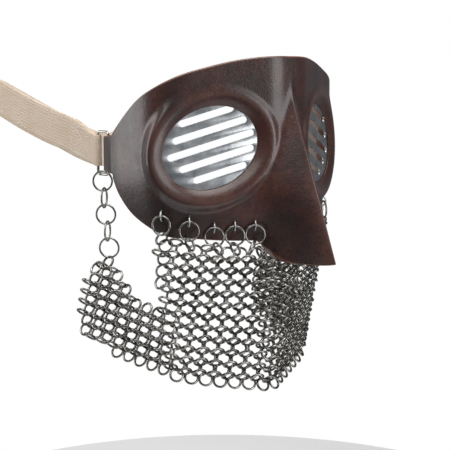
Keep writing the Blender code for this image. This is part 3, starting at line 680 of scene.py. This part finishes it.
def make_leather():
    grid, edge, path, far, tab_rows = leather_half()
    s, z = grid[..., 0], grid[..., 1]
    n, m = s.shape
    outer, inner = shell_point(s, z, False), shell_point(s, z, True)
    on_middle = s < 1e-9
    distance = edge_distance(s, z, edge)
    drop = edge_drop(distance, LEATHER)[..., None]
    faces_out = outer + (inner - outer) * drop
    faces_in = inner + (outer - inner) * drop
    for face in (faces_out, faces_in):
        face[..., 0] = np.where(on_middle, 0, face[..., 0])
    beyond, _, crest_at = rim_distance(s, z)
    well = smooth(1 - beyond / (crest_at * WELL_SHARE))
    # The crest and nose-ridge mask for the lighter colour: partly real wear, partly a painted
    # highlight.
    low = smooth((NOSE_WEAR_AND_HIGHLIGHT_FROM - z) / NOSE_WEAR_AND_HIGHLIGHT_SPAN)
    ridge = np.exp(-(faces_out[..., 0] / NOSE_WEAR_AND_HIGHLIGHT_WIDTH) ** 2) * low
    wear_and_highlight = np.maximum(np.exp(-((beyond - crest_at) / CREST_WIDTH) ** 2) * CREST_WEAR_AND_HIGHLIGHT, ridge)
    raw = rawness(distance)

    ahead = unit(np.gradient(path, axis=0))
    side_out = np.stack([ahead[:, 1], -ahead[:, 0]], 1)
    thick = LEATHER + (TAB - LEATHER) * smooth(far / TAB_THINNING)
    z_share = (grid[tab_rows, -1, 1] - LOOP_Z) / tab_half(0)
    tab_z = LOOP_Z + z_share[:, None] * tab_half(far)[None]
    tab_s = np.broadcast_to(REAR_EDGE + far, tab_z.shape)
    tab_distance = edge_distance(tab_s, tab_z, edge)
    tab_distance = np.minimum(tab_distance, (far[-1] - far)[None])
    tab_drop = edge_drop(tab_distance, TAB)[..., None]
    edge_xy, rear, inwards = rear_frame()

    def tab_face(sign):
        plan = path + sign * side_out * thick[:, None] / 2
        plan = edge_xy + plan[:, :1] * rear + plan[:, 1:] * inwards
        face = np.empty((*tab_z.shape, 3))
        face[..., :2] = plan
        face[..., 2] = tab_z
        return face

    # The shell leans in slightly at this height, so the tab starts from where the shell ends.
    tab_out, tab_in = tab_face(1), tab_face(-1)
    for face, shell in ((tab_out, outer), (tab_in, inner)):
        start = shell[tab_rows, -1] - face[:, 0]
        start[:, 2] = 0
        face += start[:, None] * (1 - smooth(far / TAB_JOIN))[None, :, None]
    tab_faces_out = tab_out + (tab_in - tab_out) * tab_drop
    tab_faces_in = tab_in + (tab_out - tab_in) * tab_drop
    for shell, tab in ((faces_out, tab_faces_out), (faces_in, tab_faces_in)):
        tab[:, 0] = shell[tab_rows, -1]
    tab_raw = rawness(tab_distance)

    points, faces, values = [], [], {k: [] for k in ("well", "wear_and_highlight", "edge", "lining")}
    count = 0

    def add(face, numbers):
        nonlocal count
        start = count
        points.append(face.reshape(-1, 3))
        for key in values:
            values[key].append(np.broadcast_to(numbers.get(key, 0), face.shape[:-1]).ravel())
        count += face.shape[0] * face.shape[1]
        return start

    for side in SIDES.values():
        a = add(mirrored(faces_out, side), {"well": well, "wear_and_highlight": wear_and_highlight, "edge": raw})
        b = add(mirrored(faces_in, side), {"edge": raw, "lining": 1 - RAW_ON_LINING * raw})
        faces += grid_faces(n, m, a, True, False) + grid_faces(n, m, b, True, False)
        width = len(far)
        c = add(mirrored(tab_faces_out, side), {"edge": tab_raw})
        lining = 1 - RAW_ON_LINING * tab_raw
        d = add(mirrored(tab_faces_in, side), {"edge": tab_raw, "lining": lining})
        rows = len(tab_rows)
        for start in (c, d):
            faces += grid_faces(rows, width, start, close_columns=False)
        tab = set(tab_rows[:-1])
        for i in range(n):
            k = (i + 1) % n
            faces.append((a + i * m, a + k * m, b + k * m, b + i * m))
            if i not in tab and not (on_middle[i, -1] and on_middle[k, -1]):
                last = m - 1
                faces.append((a + i * m + last, a + k * m + last, b + k * m + last, b + i * m + last))
        for row in (0, rows - 1):
            faces.extend((c + row * width + j, c + row * width + j + 1, d + row * width + j + 1,
                          d + row * width + j) for j in range(width - 1))
        faces.extend((c + i * width - 1, c + (i + 1) * width - 1, d + (i + 1) * width - 1,
                      d + i * width - 1) for i in range(1, rows))

    leather = new_piece("mask_leather", np.vstack(points), faces, LEATHER_LOOK,
                        values={k: np.concatenate(v) for k, v in values.items()}, sharp=60)
    holes = make_holes()
    cut = leather.modifiers.new("holes", "BOOLEAN")
    cut.object, cut.operation, cut.solver = holes, "DIFFERENCE", "EXACT"
    baked(leather)
    bpy.data.objects.remove(holes)
    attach(leather, "mask")
    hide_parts("mask_shell")
    return leather


HOLE, HOLE_INSET, HOLE_ENDS = 0.95 * MM, 0.4 * MM, (-5 * MM, 2 * MM)


def staple_centre(hook):
    s, z = HOOKS[hook][0] * MM, HOOKS[hook][1] * MM
    return shell_point(s, z, False), outward_at(s, z)


def make_holes():
    """The holes through the leather at each staple, one above the other, as one cutter."""
    points, faces, sides = [], [], 16
    turns = 2 * math.pi * np.arange(sides) / sides
    for side in SIDES.values():
        for hook in range(len(HOOKS)):
            centre, out = staple_centre(hook)
            level = unit(np.cross(out, (0, 0, 1)))
            up = np.cross(level, out)
            for way in (-1, 1):
                middle = centre + way * up * (STAPLE - HOLE_INSET)
                start = sum(len(p) for p in points)
                for end in HOLE_ENDS:
                    ring = middle + end * out + HOLE * (np.cos(turns)[:, None] * up
                                                        + np.sin(turns)[:, None] * level)
                    points.append(mirrored(ring, side))
                faces += end_faces(2, sides, start) + grid_faces(2, sides, start)
    mesh = bpy.data.meshes.new("holes")
    mesh.from_pydata(np.vstack(points).tolist(), [], faces)
    face_outwards(mesh)
    return add_to_scene("holes", mesh)


# ---------------------------------------------------------------- the eye plates

def on_plate(points, side):
    """The plate's own (along s, up, out) points in the frame; the right side is mirrored."""
    out = Vector((math.sin(BROW_TURN), -math.cos(BROW_TURN), 0))
    rear = Vector((math.cos(BROW_TURN), math.sin(BROW_TURN), 0))
    centre = Vector(wrap(EYE_S, EYE_Z, PLATE_RECESS))
    made = Matrix((rear, Vector((0, 0, 1)), out)).transposed().to_4x4()
    made.translation = centre
    matrix = np.array(Matrix.Diagonal((side, 1, 1, 1)) @ made)
    return points @ matrix[:3, :3].T + matrix[:3, 3]


def oval(beyond, count):
    angles = 2 * math.pi * np.arange(count) / count
    radii = opening_radius(angles) + beyond
    return np.stack([radii * np.cos(angles), radii * np.sin(angles)], 1)


def slot_ring(across, start, end, steps=14):
    """A round-ended slot's outline in plate positions; slots rise towards the nose."""
    half = SLOT_WIDTH / 2
    ring = []
    for centre, first in ((end - half, -90), (start + half, 90)):
        for a in np.radians(first + 180 * np.arange(steps + 1) / steps):
            ring.append((centre + half * math.cos(a), across + half * math.sin(a)))
    cos, sin = math.cos(SLOT_TILT), math.sin(SLOT_TILT)
    return np.array([(-(a * cos - b * sin), a * sin + b * cos) for a, b in ring])


def make_plate(name, side):
    curve = bpy.data.curves.new("eye_plate", "CURVE")
    curve.dimensions, curve.fill_mode = "2D", "BOTH"
    bevel = 0.16 * MM
    curve.extrude, curve.bevel_depth, curve.bevel_resolution = PLATE / 2 - bevel, bevel, 2
    curve.offset = -bevel
    rings = [oval(PLATE_LAP, 160)]
    rings += [slot_ring(SLOT_SHIFT + row * SLOT_PITCH, a * MM, b * MM) for row, a, b in SLOTS]
    for ring in rings:
        spline = curve.splines.new("POLY")
        spline.points.add(len(ring) - 1)
        flat = np.zeros((len(ring), 4))
        flat[:, :2], flat[:, 3] = ring, 1
        spline.points.foreach_set("co", flat.ravel())
        spline.use_cyclic_u = True
    source = add_to_scene("eye_plate_source", curve)
    bpy.context.view_layer.update()
    mesh = bpy.data.meshes.new_from_object(source.evaluated_get(bpy.context.evaluated_depsgraph_get()))
    bpy.data.objects.remove(source)
    count = len(mesh.vertices)
    co = np.empty(count * 3)
    mesh.vertices.foreach_get("co", co)
    co = on_plate(co.reshape(-1, 3) - (0, 0, PLATE / 2), side)
    faces = [tuple(p.vertices) for p in mesh.polygons]
    bpy.data.meshes.remove(mesh)
    new_piece("plate_" + name, co, faces, PLATE_LOOK, "mask",
              ["eye_plate_" + name], sharp=35)


def make_retainer(name, side):
    """The stepped leather ring that holds the plate from behind, with rounded rear edges."""
    r = 0.5 * MM
    arc = [(1 - math.cos(a), 1 - math.sin(a)) for a in np.linspace(0, math.pi / 2, 5)]
    section = [(0.5 * MM, -PLATE - GAP), (PLATE_LAP + GAP, -PLATE - GAP), (PLATE_LAP + GAP, 0),
               (RETAINER_LAP, 0)]
    section += [(RETAINER_LAP - r * a, -RETAINER + r * b) for a, b in arc]
    section += [(0.5 * MM + r * a, -RETAINER + r * b) for a, b in arc[::-1]]
    count, k = 120, len(section)
    rings = [oval(beyond, count) for beyond, _ in section]
    points = np.array([[*rings[j][i], section[j][1]] for i in range(count) for j in range(k)])
    new_piece("retainer_" + name, on_plate(points, side), grid_faces(count, k, close_rows=True),
              RAW_LOOK, "mask", ["eye_retainer_" + name])


# ---------------------------------------------------------------- wire loops, links and hooks

RING_STEPS, WIRE_SIDES, HANG_GAP = 56, 14, 0.2 * MM
# Where a large ring's seam may face and how light its wire may be, and the loops' own tone.
SEAM_RANGE, TONE_RANGE, LOOP_TONE = (-2.6, -0.6), (0.25, 0.8), 0.75


def loop_bars(name):
    """The plan positions of the loop's two upright bars, and the way between them."""
    inner = behind(BAR_BACK, BAR_IN)
    way = np.array([math.sin(LOOP_SPLAY[name]), math.cos(LOOP_SPLAY[name])])
    return inner, inner + LOOP_LENGTH * way, way


def make_loop(name, side):
    inner, outer, way = loop_bars(name)
    middle, points = (inner + outer) / 2, []
    for a, b in ((1, 1), (-1, 1), (-1, -1), (1, -1)):
        corner = np.array([a * (LOOP_LENGTH / 2 - LOOP_CORNER), b * (LOOP_HALF_HEIGHT - LOOP_CORNER)])
        first = math.degrees(math.atan2(b, a)) - 45
        for turn in np.radians(np.linspace(first, first + 90, 10)):
            u, v = corner + LOOP_CORNER * np.array([math.cos(turn), math.sin(turn)])
            points.append(np.array([*(middle + u * way), LOOP_Z + v]))
    made, faces = tube(mirrored(points, side), (side * way[1], -way[0], 0), LOOP_WIRE,
                       WIRE_SIDES)
    new_piece("loop_wire_" + name, made, faces, WIRE_LOOK, "loop_" + name,
              ["strap_loop_" + name], values={"tone": np.full(len(made), LOOP_TONE)})


def big_ring(title, centre, normal, side, body, node, look=None, radius=RING, wire=RING_WIRE):
    ring, faces, ends = torus(radius, wire, RING_STEPS, WIRE_SIDES)
    seam = RANDOM.uniform(*SEAM_RANGE)
    points = mirrored(placed(ring, centre, normal, (0, 0, 1), seam), side)
    new_piece(title, points, faces + ends, look or WIRE_LOOK, body, [node],
              values={"tone": np.full(len(points), RANDOM.uniform(*TONE_RANGE))}, sharp=45)


def chain_places(name):
    """Centre and normal of the four links and the veil's ring, with positive X."""
    step = 2 * LINK - 2 * RING_WIRE - LINK_SLACK
    hang = LOOP_Z - LOOP_HALF_HEIGHT + LOOP_WIRE + RING_WIRE + GAP
    inner, _, way = loop_bars(name)
    top, places = inner + way * CHAIN_ALONG, []
    for link in range(5):
        x, y = top + (np.array(CHAIN_END) - top) * link / 4
        turn = LINK_TURN if link % 2 else LINK_TURN - math.pi / 2
        if link < 2:
            turn -= LOOP_SPLAY[name] - LOOP_SPLAY["right"]
        places.append((np.array([x, y, hang - LINK]), np.array([math.cos(turn), math.sin(turn), 0])))
        hang -= step
    return places


def make_chain(name, side):
    for link, (centre, normal) in enumerate(chain_places(name)):
        title, body, node = (f"link_ring_{link + 1}_{name}", f"link_{link + 1}_{name}",
                             f"chain_link_{link + 1}_{name}")
        if link == 4:
            title, body, node = "veil_ring_" + name, "end_ring_" + name, "wing_ring_" + name
        big_ring(title, centre, normal, side, body, node, radius=LINK)


def hook_place(hook):
    """The large ring on a staple: its centre and normal."""
    centre, out = staple_centre(hook)
    level = math.atan2(out[1], out[0]) + math.radians(HOOKS[hook][2])
    flat = np.array([out[0], out[1], 0]) / math.hypot(out[0], out[1])
    hang = centre + flat * (STAPLE - STAPLE_WIRE - RING_WIRE - HANG_GAP)
    return hang - np.array([0, 0, RING]), np.array([math.cos(level), math.sin(level), 0])


def make_hooks(name, side):
    for hook in range(len(HOOKS)):
        centre, out = staple_centre(hook)
        level = unit(np.cross(out, (0, 0, 1)))
        big_ring(f"staple_{hook + 1}_{name}", centre, level, side, "mask",
                 f"hook_staple_{hook + 1}_{name}", STAPLE_LOOK, STAPLE, STAPLE_WIRE)
        centre, normal = hook_place(hook)
        big_ring(f"hanging_ring_{hook + 1}_{name}", centre, normal, side, f"hook_{hook + 1}_{name}",
                 f"hook_ring_{hook + 1}_{name}")


# ---------------------------------------------------------------- the mail

def mail_point(s, z):
    return wrap(s, z, MAIL_IN + MAIL_CLOSING * (MAIL_TOP - z))


def mail_top(s):
    """The veil's top edge, which sags between the hooks beside the nose."""
    return MAIL_TOP - NOSE_SAG * (1 - smooth((np.abs(s) - SAG_FLAT) / SAG_RISE))


def hem(s):
    return HEM_FRONT + HEM_RISE * (np.abs(s) / CURTAIN_END) ** 1.4


ROW_RISE, ROW_STEP, WING_REACH = 0.165, 0.25 * MM, 90 * MM
TOP_EVENING, TOP_RAISE, TOP_TILT = 5, MM, 4 * MM
# How the top rows are drawn to the hooks, and how much the rings differ at random.
TOP_ROWS, PULL, PULL_ROWS, PULL_SPAN = 4, 0.62, 1.6, 9 * MM
HOOKED_SPAN, HOOKED_SWING, HOOKED_LEAN = 5 * MM, math.radians(58), 0.4
LEAN_SPREAD, TURN_SPREAD, PLACE_SPREAD = math.radians(2.2), 0.05, 0.1 * MM
WING_LAST, ABOVE_HEM, BELOW_TOP = 0.955, 3 * MM, 0.3 * MM


def row_curve(row):
    """One row of one half: arc length, position, share along the wing, heading and s of each point."""
    s = np.arange(0, CURTAIN_END + 0.1 * MM, ROW_STEP)
    top = along(TOP_ROW, s / MM) * MM
    level = mail_top(s) + TOP_RAISE + TOP_TILT * (s / CURTAIN_END)
    top = level + (top - level) * math.exp(-row / TOP_EVENING)
    low = hem(s) + MAIL_RING
    z = top + (low - top) * row / (MAIL_ROWS - 1)
    points = mail_point(s, z)
    start, z_end = points[-1], z[-1]
    d = np.arange(ROW_STEP, WING_REACH, ROW_STEP)
    rear = np.array([*WING_REAR, 0])
    way = unit((rear - start) * (1, 1, 0))
    wing = start + d[:, None] * way
    wing[:, 2] = z_end + ROW_RISE * d
    reach = np.linalg.norm((rear - start)[:2])
    far = lengths_along(points)
    share = np.concatenate([np.zeros(len(s)), d / reach])
    arc = np.concatenate([far, far[-1] + d])
    turn = np.concatenate([facing(s), np.full(len(d), math.atan2(way[1], way[0]))])
    s = np.concatenate([s, np.full(len(d), CURTAIN_END)])
    return arc, np.vstack([points, wing]), share, turn, s


def ring_soup(rings, steps=22, sides=8):
    """Many wire rings as one mesh: points, faces and a tone for each point."""
    shape, faces, ends = torus(MAIL_RING, MAIL_WIRE, steps, sides, 0.1 * MM)
    faces, ends = np.array(faces), np.array(ends)
    points, quads, caps, tones = [], [], [], []
    for i, (centre, normal, up, seam, tone) in enumerate(rings):
        points.append(placed(shape, centre, normal, up, seam))
        quads.append(faces + i * len(shape))
        caps.append(ends + i * len(shape))
        tones.append(np.full(len(shape), tone))
    return np.vstack(points), [*np.vstack(quads), *np.vstack(caps)], np.concatenate(tones)


def hook_pull(s, row):
    """How far a ring of the top rows is drawn sideways, and the way to its nearest hook."""
    gaps = np.array([h[0] * MM for h in HOOKS]) - s
    nearest = gaps[np.argmin(np.abs(gaps))]
    fading = max(0, 1 - abs(nearest) / PULL_SPAN)
    return nearest * PULL * math.exp(-row / PULL_ROWS) * fading, nearest


def mail_rings():
    """The rings of the curtain and of the two wings, as lists for ring_soup."""
    curtain, wings = [], {"right": [], "left": []}
    for row in range(MAIL_ROWS):
        arc, points, share, turn, s_at = row_curve(row)
        offset = MAIL_PITCH / 2 * (row % 2)
        for name, side in SIDES.items():
            columns = np.arange(offset, arc[-1], MAIL_PITCH)
            if side > 0 and offset == 0:
                columns = columns[1:]
            for a in columns:
                s = np.interp(a, arc, s_at)
                on_wing = np.interp(a, arc, share)
                lean = MAIL_LEAN * (1 if row % 2 else -1)
                swing = 0.0
                if on_wing == 0 and row < TOP_ROWS:
                    pull, nearest = hook_pull(s, row)
                    a = a + pull
                    if row == 0 and abs(nearest) < HOOKED_SPAN:
                        swing = HOOKED_SWING * (1 if nearest > 0 else -1)
                        lean *= HOOKED_LEAN
                centre = np.array([np.interp(a, arc, points[:, i]) for i in range(3)])
                angle = np.interp(a, arc, turn)
                if on_wing > 0:
                    top, low = along(WING_TOP, on_wing) * MM, along(WING_HEM, on_wing) * MM
                    inside = low + ABOVE_HEM < centre[2] < top - BELOW_TOP
                    if not inside or on_wing > WING_LAST:
                        continue
                out = np.array([math.sin(angle), -math.cos(angle), 0])
                along_row = np.array([math.cos(angle), math.sin(angle), 0])
                normal = unit(out - MAIL_CLOSING * np.array([0, 0, 1.0]))
                up = np.cross(normal, along_row)
                up = up if up[2] > 0 else -up
                facing_way = math.cos(swing) * normal + math.sin(swing) * along_row
                lean += RANDOM.normal(0, LEAN_SPREAD)
                ring_normal = math.cos(lean) * facing_way + math.sin(lean) * up
                ring_normal = ring_normal + along_row * RANDOM.normal(0, TURN_SPREAD)
                centre = centre + RANDOM.normal(0, PLACE_SPREAD, 3)
                if a < 1e-6:
                    centre[0] = 0
                item = (mirrored(centre, side), mirrored(ring_normal, side), mirrored(up, side),
                        RANDOM.uniform(0, 2 * math.pi), RANDOM.uniform(0, 1))
                (wings[name] if on_wing > 0 else curtain).append(item)
    return curtain, wings


def make_mail():
    curtain, wings = mail_rings()
    points, faces, tones = ring_soup(curtain)
    new_piece("veil_curtain", points, faces, MAIL_LOOK, "curtain", ["mail_curtain"],
              values={"tone": tones}, sharp=45)
    for name, rings in wings.items():
        points, faces, tones = ring_soup(rings)
        new_piece("veil_wing_" + name, points, faces, MAIL_LOOK, "wing_" + name,
                  ["mail_wing_" + name], values={"tone": tones}, sharp=45)
    print("mail rings", len(curtain), len(wings["right"]), len(wings["left"]))


# ---------------------------------------------------------------- the strap

def band(centres, halves, outs, thickness):
    """A woven band with rounded selvedges: points, faces and UVs in metres."""
    flat = np.linspace(1, -1, 9)[:-1]
    ring = []
    for end in (1, -1):
        ring += [(end, end * math.cos(a) * 0.5, end * math.sin(a))
                 for a in np.linspace(-math.pi / 2, math.pi / 2, 7)[:-1]]
        ring += [(end * f, 0, end) for f in flat]
    k, n = len(ring), len(centres)
    points, uv = [], []
    far = lengths_along(centres)
    for i in range(n):
        c, h, o = centres[i], halves[i], outs[i]
        half = np.linalg.norm(h)
        way = h / half
        for across, bulge, lift in ring:
            points.append(c + way * (across * (half - 0.25 * thickness) + bulge * thickness * 0.5)
                          + o * lift * thickness / 2)
            uv.append((far[i], across * half + half))
    return np.array(points), grid_faces(n, k) + end_faces(n, k), np.array(uv)


def fold_end(name):
    """Where the strap leaves its sewn end, before mirroring."""
    _, outer, way = loop_bars(name)
    return np.array([*(outer + way * END_LENGTH), STRAP_Z + STRAP_RISE[name]])


def strap_route():
    """The strap's middle line behind the loops, from the right loop round to the left."""
    right = [fold_end("right"), (0.0745, 0.155, -0.0085), (0.0762, 0.185, 0), (0.0765, 0.214, 0.0088),
             (0.0755, 0.23, 0.013), (0.0715, 0.242, 0.014), (0.064, 0.25, 0.0122),
             (0.05, 0.2555, 0.0067)]
    left = [fold_end("left"), *STRAP_LEFT]
    middle = [(-0.02, 0.259, -0.0077), (0.005, 0.26, -0.0195), (0.024, 0.259, -0.029),
              (0.039, 0.256, -0.034)]
    return curve_through([*mirrored(right, -1), *middle, *left[::-1]], 16)


def fold_slant(name):
    """How steeply the sewn end rises, and how far its upright leans with it."""
    slope = STRAP_RISE[name] / END_LENGTH
    return slope, FOLD_LEAN * slope * np.array([*loop_bars(name)[2], 0])


def fold_layout(name):
    """The sewn end's middle line, its half-width vectors and its outward normals."""
    _, outer, way = loop_bars(name)
    across = np.array([-way[1], way[0]])
    layer = STRAP / 2 + GAP / 2
    radius = LOOP_WIRE + GAP + STRAP / 2
    under = outer + way * FOLD_LENGTH + across * layer
    near_under, near_over = (outer + way * 5 * MM + sign * across * layer for sign in (1, -1))
    folded = round_bar(near_under, outer, radius, near_over, 20)
    over = [outer + way * back - across * layer for back in (12 * MM, END_LENGTH)]
    path = resample([under, *folded, *over], 0.8 * MM)
    step = unit(np.gradient(path, axis=0))
    outs = np.stack([step[:, 1], -step[:, 0], 0 * step[:, 0]], 1)
    back = (path - outer) @ way
    share = smooth(back / END_LENGTH)
    slope, lean = fold_slant(name)
    centres = np.column_stack([path, STRAP_Z + slope * np.clip(back, 0, None)])
    halves = ((np.array([0, 0, 1]) - share[:, None] * lean)
              * (STRAP_HALF + share * (STRAP_HALF_END - STRAP_HALF))[:, None])
    return centres, halves, outs


def stitches(name, side, spots):
    """Short raised threads: each spot is its middle, its direction and its outward normal."""
    length, radius, rings, sides = 1.5 * MM, 0.28 * MM, 7, 8
    t = np.linspace(-1, 1, rings)
    bulge = np.sqrt(np.clip(1 - np.abs(t) ** 3, 0.02, 1))
    points, faces = [], []
    for centre, way, out in spots:
        way, out = unit(way), unit(out)
        across = np.cross(way, out)
        start = sum(len(p) for p in points)
        for x, b in zip(t, bulge):
            a = 2 * math.pi * np.arange(sides) / sides
            sink = -0.25 * radius * x * x
            points.append(centre + way * x * length / 2 + out * sink
                          + radius * b * (np.cos(a)[:, None] * across + np.sin(a)[:, None] * out))
        faces += grid_faces(rings, sides, start) + end_faces(rings, sides, start)
    new_piece("strap_stitching_" + name, mirrored(np.vstack(points), side), faces, THREAD_LOOK,
              "loop_" + name)


def make_strap():
    route = strap_route()
    step = unit(np.gradient(route, axis=0))
    outs = unit(np.cross(step, (0, 0, 1)))
    ups = np.cross(outs, step)
    share = np.abs(np.linspace(-1, 1, len(route)))[:, None]
    halves = ups * (STRAP_HALF_FREE + (STRAP_HALF_END - STRAP_HALF_FREE) * share**4)
    middle = len(route) // 2
    for name, part in (("right", slice(0, middle + 1)), ("left", slice(middle, None))):
        order = slice(None) if name == "right" else slice(None, None, -1)
        points, faces, uv = band(route[part][order], halves[part][order], outs[part][order], STRAP)
        half = new_piece("strap_" + name, points, faces, ELASTIC_LOOK, uv=uv)
        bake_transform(half)
        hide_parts("head_strap")
    for name, side in SIDES.items():
        make_fold(name, side)


def make_fold(name, side):
    """The strap's folded end, with lines of stitching on both faces."""
    _, outer, way = loop_bars(name)
    slope, lean = fold_slant(name)
    flat_out = np.array([way[1], -way[0], 0])
    points, faces, uv = band(*fold_layout(name), STRAP)
    new_piece("strap_fold_" + name, mirrored(points, side), faces, ELASTIC_LOOK,
              "loop_" + name, ["strap_end_" + name], uv=uv)

    def on_fold(back, up, lift):
        share = smooth(back / END_LENGTH)
        return (np.array([*(outer + way * back), STRAP_Z + slope * back]) + flat_out * lift
                + (np.array([0, 0, 1]) - share * lean) * up)

    near, rear, half, pitch = 4.2 * MM, 25.5 * MM, 8.6 * MM, 2.2 * MM
    lines = [((near, half), (near, -half)), ((rear, half), (rear, -half)),
             ((near, half), (rear, -half)), ((near, -half), (rear, half)),
             ((near, half), (rear, half)), ((near, -half), (rear, -half))]
    spots = []
    for lift, sign in ((STRAP + GAP / 2, 1), (-STRAP - GAP / 2, -1)):
        for a, b in lines:
            p, q = on_fold(*a, lift), on_fold(*b, lift)
            count = int(np.linalg.norm(q - p) / pitch)
            spots += [(p + (q - p) * t, q - p, sign * flat_out)
                      for t in (np.arange(count) + 0.5) / count]
    stitches(name, side, spots)


# ---------------------------------------------------------------- camera, lights and floor

AZIMUTH, ELEVATION, LENS, DISTANCE = -40, 7, 93.36, 0.7
AIM, AIM_LEFT, AIM_DOWN = Vector((0, -0.0066, 0)), 0.0426, 0.066
WHITE, LIT = (1, 1, 1), Vector((0, 0.04, -0.06))
# Each light's name, azimuth, elevation, distance, width, height, power and colour.
LIGHTS = [("left", -76, 40, 1.0, 0.4, 0.5, 2.4, (1.0, 0.95, 0.92)),
          ("front", 9, 6, 1.0, 0.6, 1.0, 7, WHITE),
          ("top", -30, 74, 0.9, 0.7, 0.7, 8, WHITE),
          ("rear", -138, 10, 1.0, 0.5, 0.8, 4, WHITE)]


def make_camera():
    back = from_angles(AZIMUTH, ELEVATION)
    right = Vector((math.cos(math.radians(AZIMUTH)), math.sin(math.radians(AZIMUTH)), 0))
    data = bpy.data.cameras.new("camera")
    data.lens, data.sensor_width = LENS, 36
    camera = add_to_scene("camera", data)
    up = back.cross(right)
    matrix = Matrix((right, up, back)).transposed().to_4x4()
    matrix.translation = AIM - AIM_LEFT * right - AIM_DOWN * up + DISTANCE * back
    camera.matrix_world = matrix
    bpy.context.scene.camera = camera
    bpy.context.scene.view_settings.view_transform = "Standard"


def softbox(name, azimuth, elevation, distance, width, height, power, colour):
    back = from_angles(azimuth, elevation)
    data = bpy.data.lights.new(name, "AREA")
    data.shape, data.size, data.size_y = "RECTANGLE", width, height
    data.energy, data.color = power, colour
    lamp = add_to_scene(name, data)
    lamp.location = LIT + back * distance
    lamp.rotation_mode = "QUATERNION"
    lamp.rotation_quaternion = back.to_track_quat("Z", "Y")
    lamp.visible_camera = False


def make_world():
    """White behind the object, and a dimmer grey for what lights and reflects in it."""
    world = bpy.data.worlds.new("studio")
    bpy.context.scene.world = world
    world.use_nodes = True
    tree = world.node_tree
    background = tree.nodes["Background"]
    seen = tree.nodes.new("ShaderNodeBackground")
    seen.inputs["Strength"].default_value = 1.0
    seen.inputs["Color"].default_value = (1, 1, 1, 1)
    background.inputs["Color"].default_value = (0.86, 0.88, 0.92, 1)
    background.inputs["Strength"].default_value = 0.16
    rays = tree.nodes.new("ShaderNodeLightPath")
    mix = tree.nodes.new("ShaderNodeMixShader")
    tree.links.new(rays.outputs["Is Camera Ray"], mix.inputs[0])
    tree.links.new(background.outputs[0], mix.inputs[1])
    tree.links.new(seen.outputs[0], mix.inputs[2])
    tree.links.new(mix.outputs[0], tree.nodes["World Output"].inputs["Surface"])


def make_floor():
    look = Nodes("floor_pale", 0.9)
    look.finish(Base_Color=look.ramp(look.noise(3), [(0, (0.86, 0.86, 0.86)), (1, (0.9, 0.9, 0.9))]))
    work = bmesh.new()
    bmesh.ops.create_circle(work, cap_ends=True, segments=128, radius=0.28)
    mesh = bpy.data.meshes.new("floor")
    work.to_mesh(mesh)
    work.free()
    mesh.materials.append(look.material)
    floor = add_to_scene("floor", mesh)
    floor.location = (0, 0.06, -0.3)


def main():
    make_camera()
    make_world()
    make_floor()
    for light in LIGHTS:
        softbox(*light)
    make_leather()
    make_strap()
    make_mail()
    for name, side in SIDES.items():
        make_plate(name, side)
        make_retainer(name, side)
        make_loop(name, side)
        make_chain(name, side)
        make_hooks(name, side)


main()
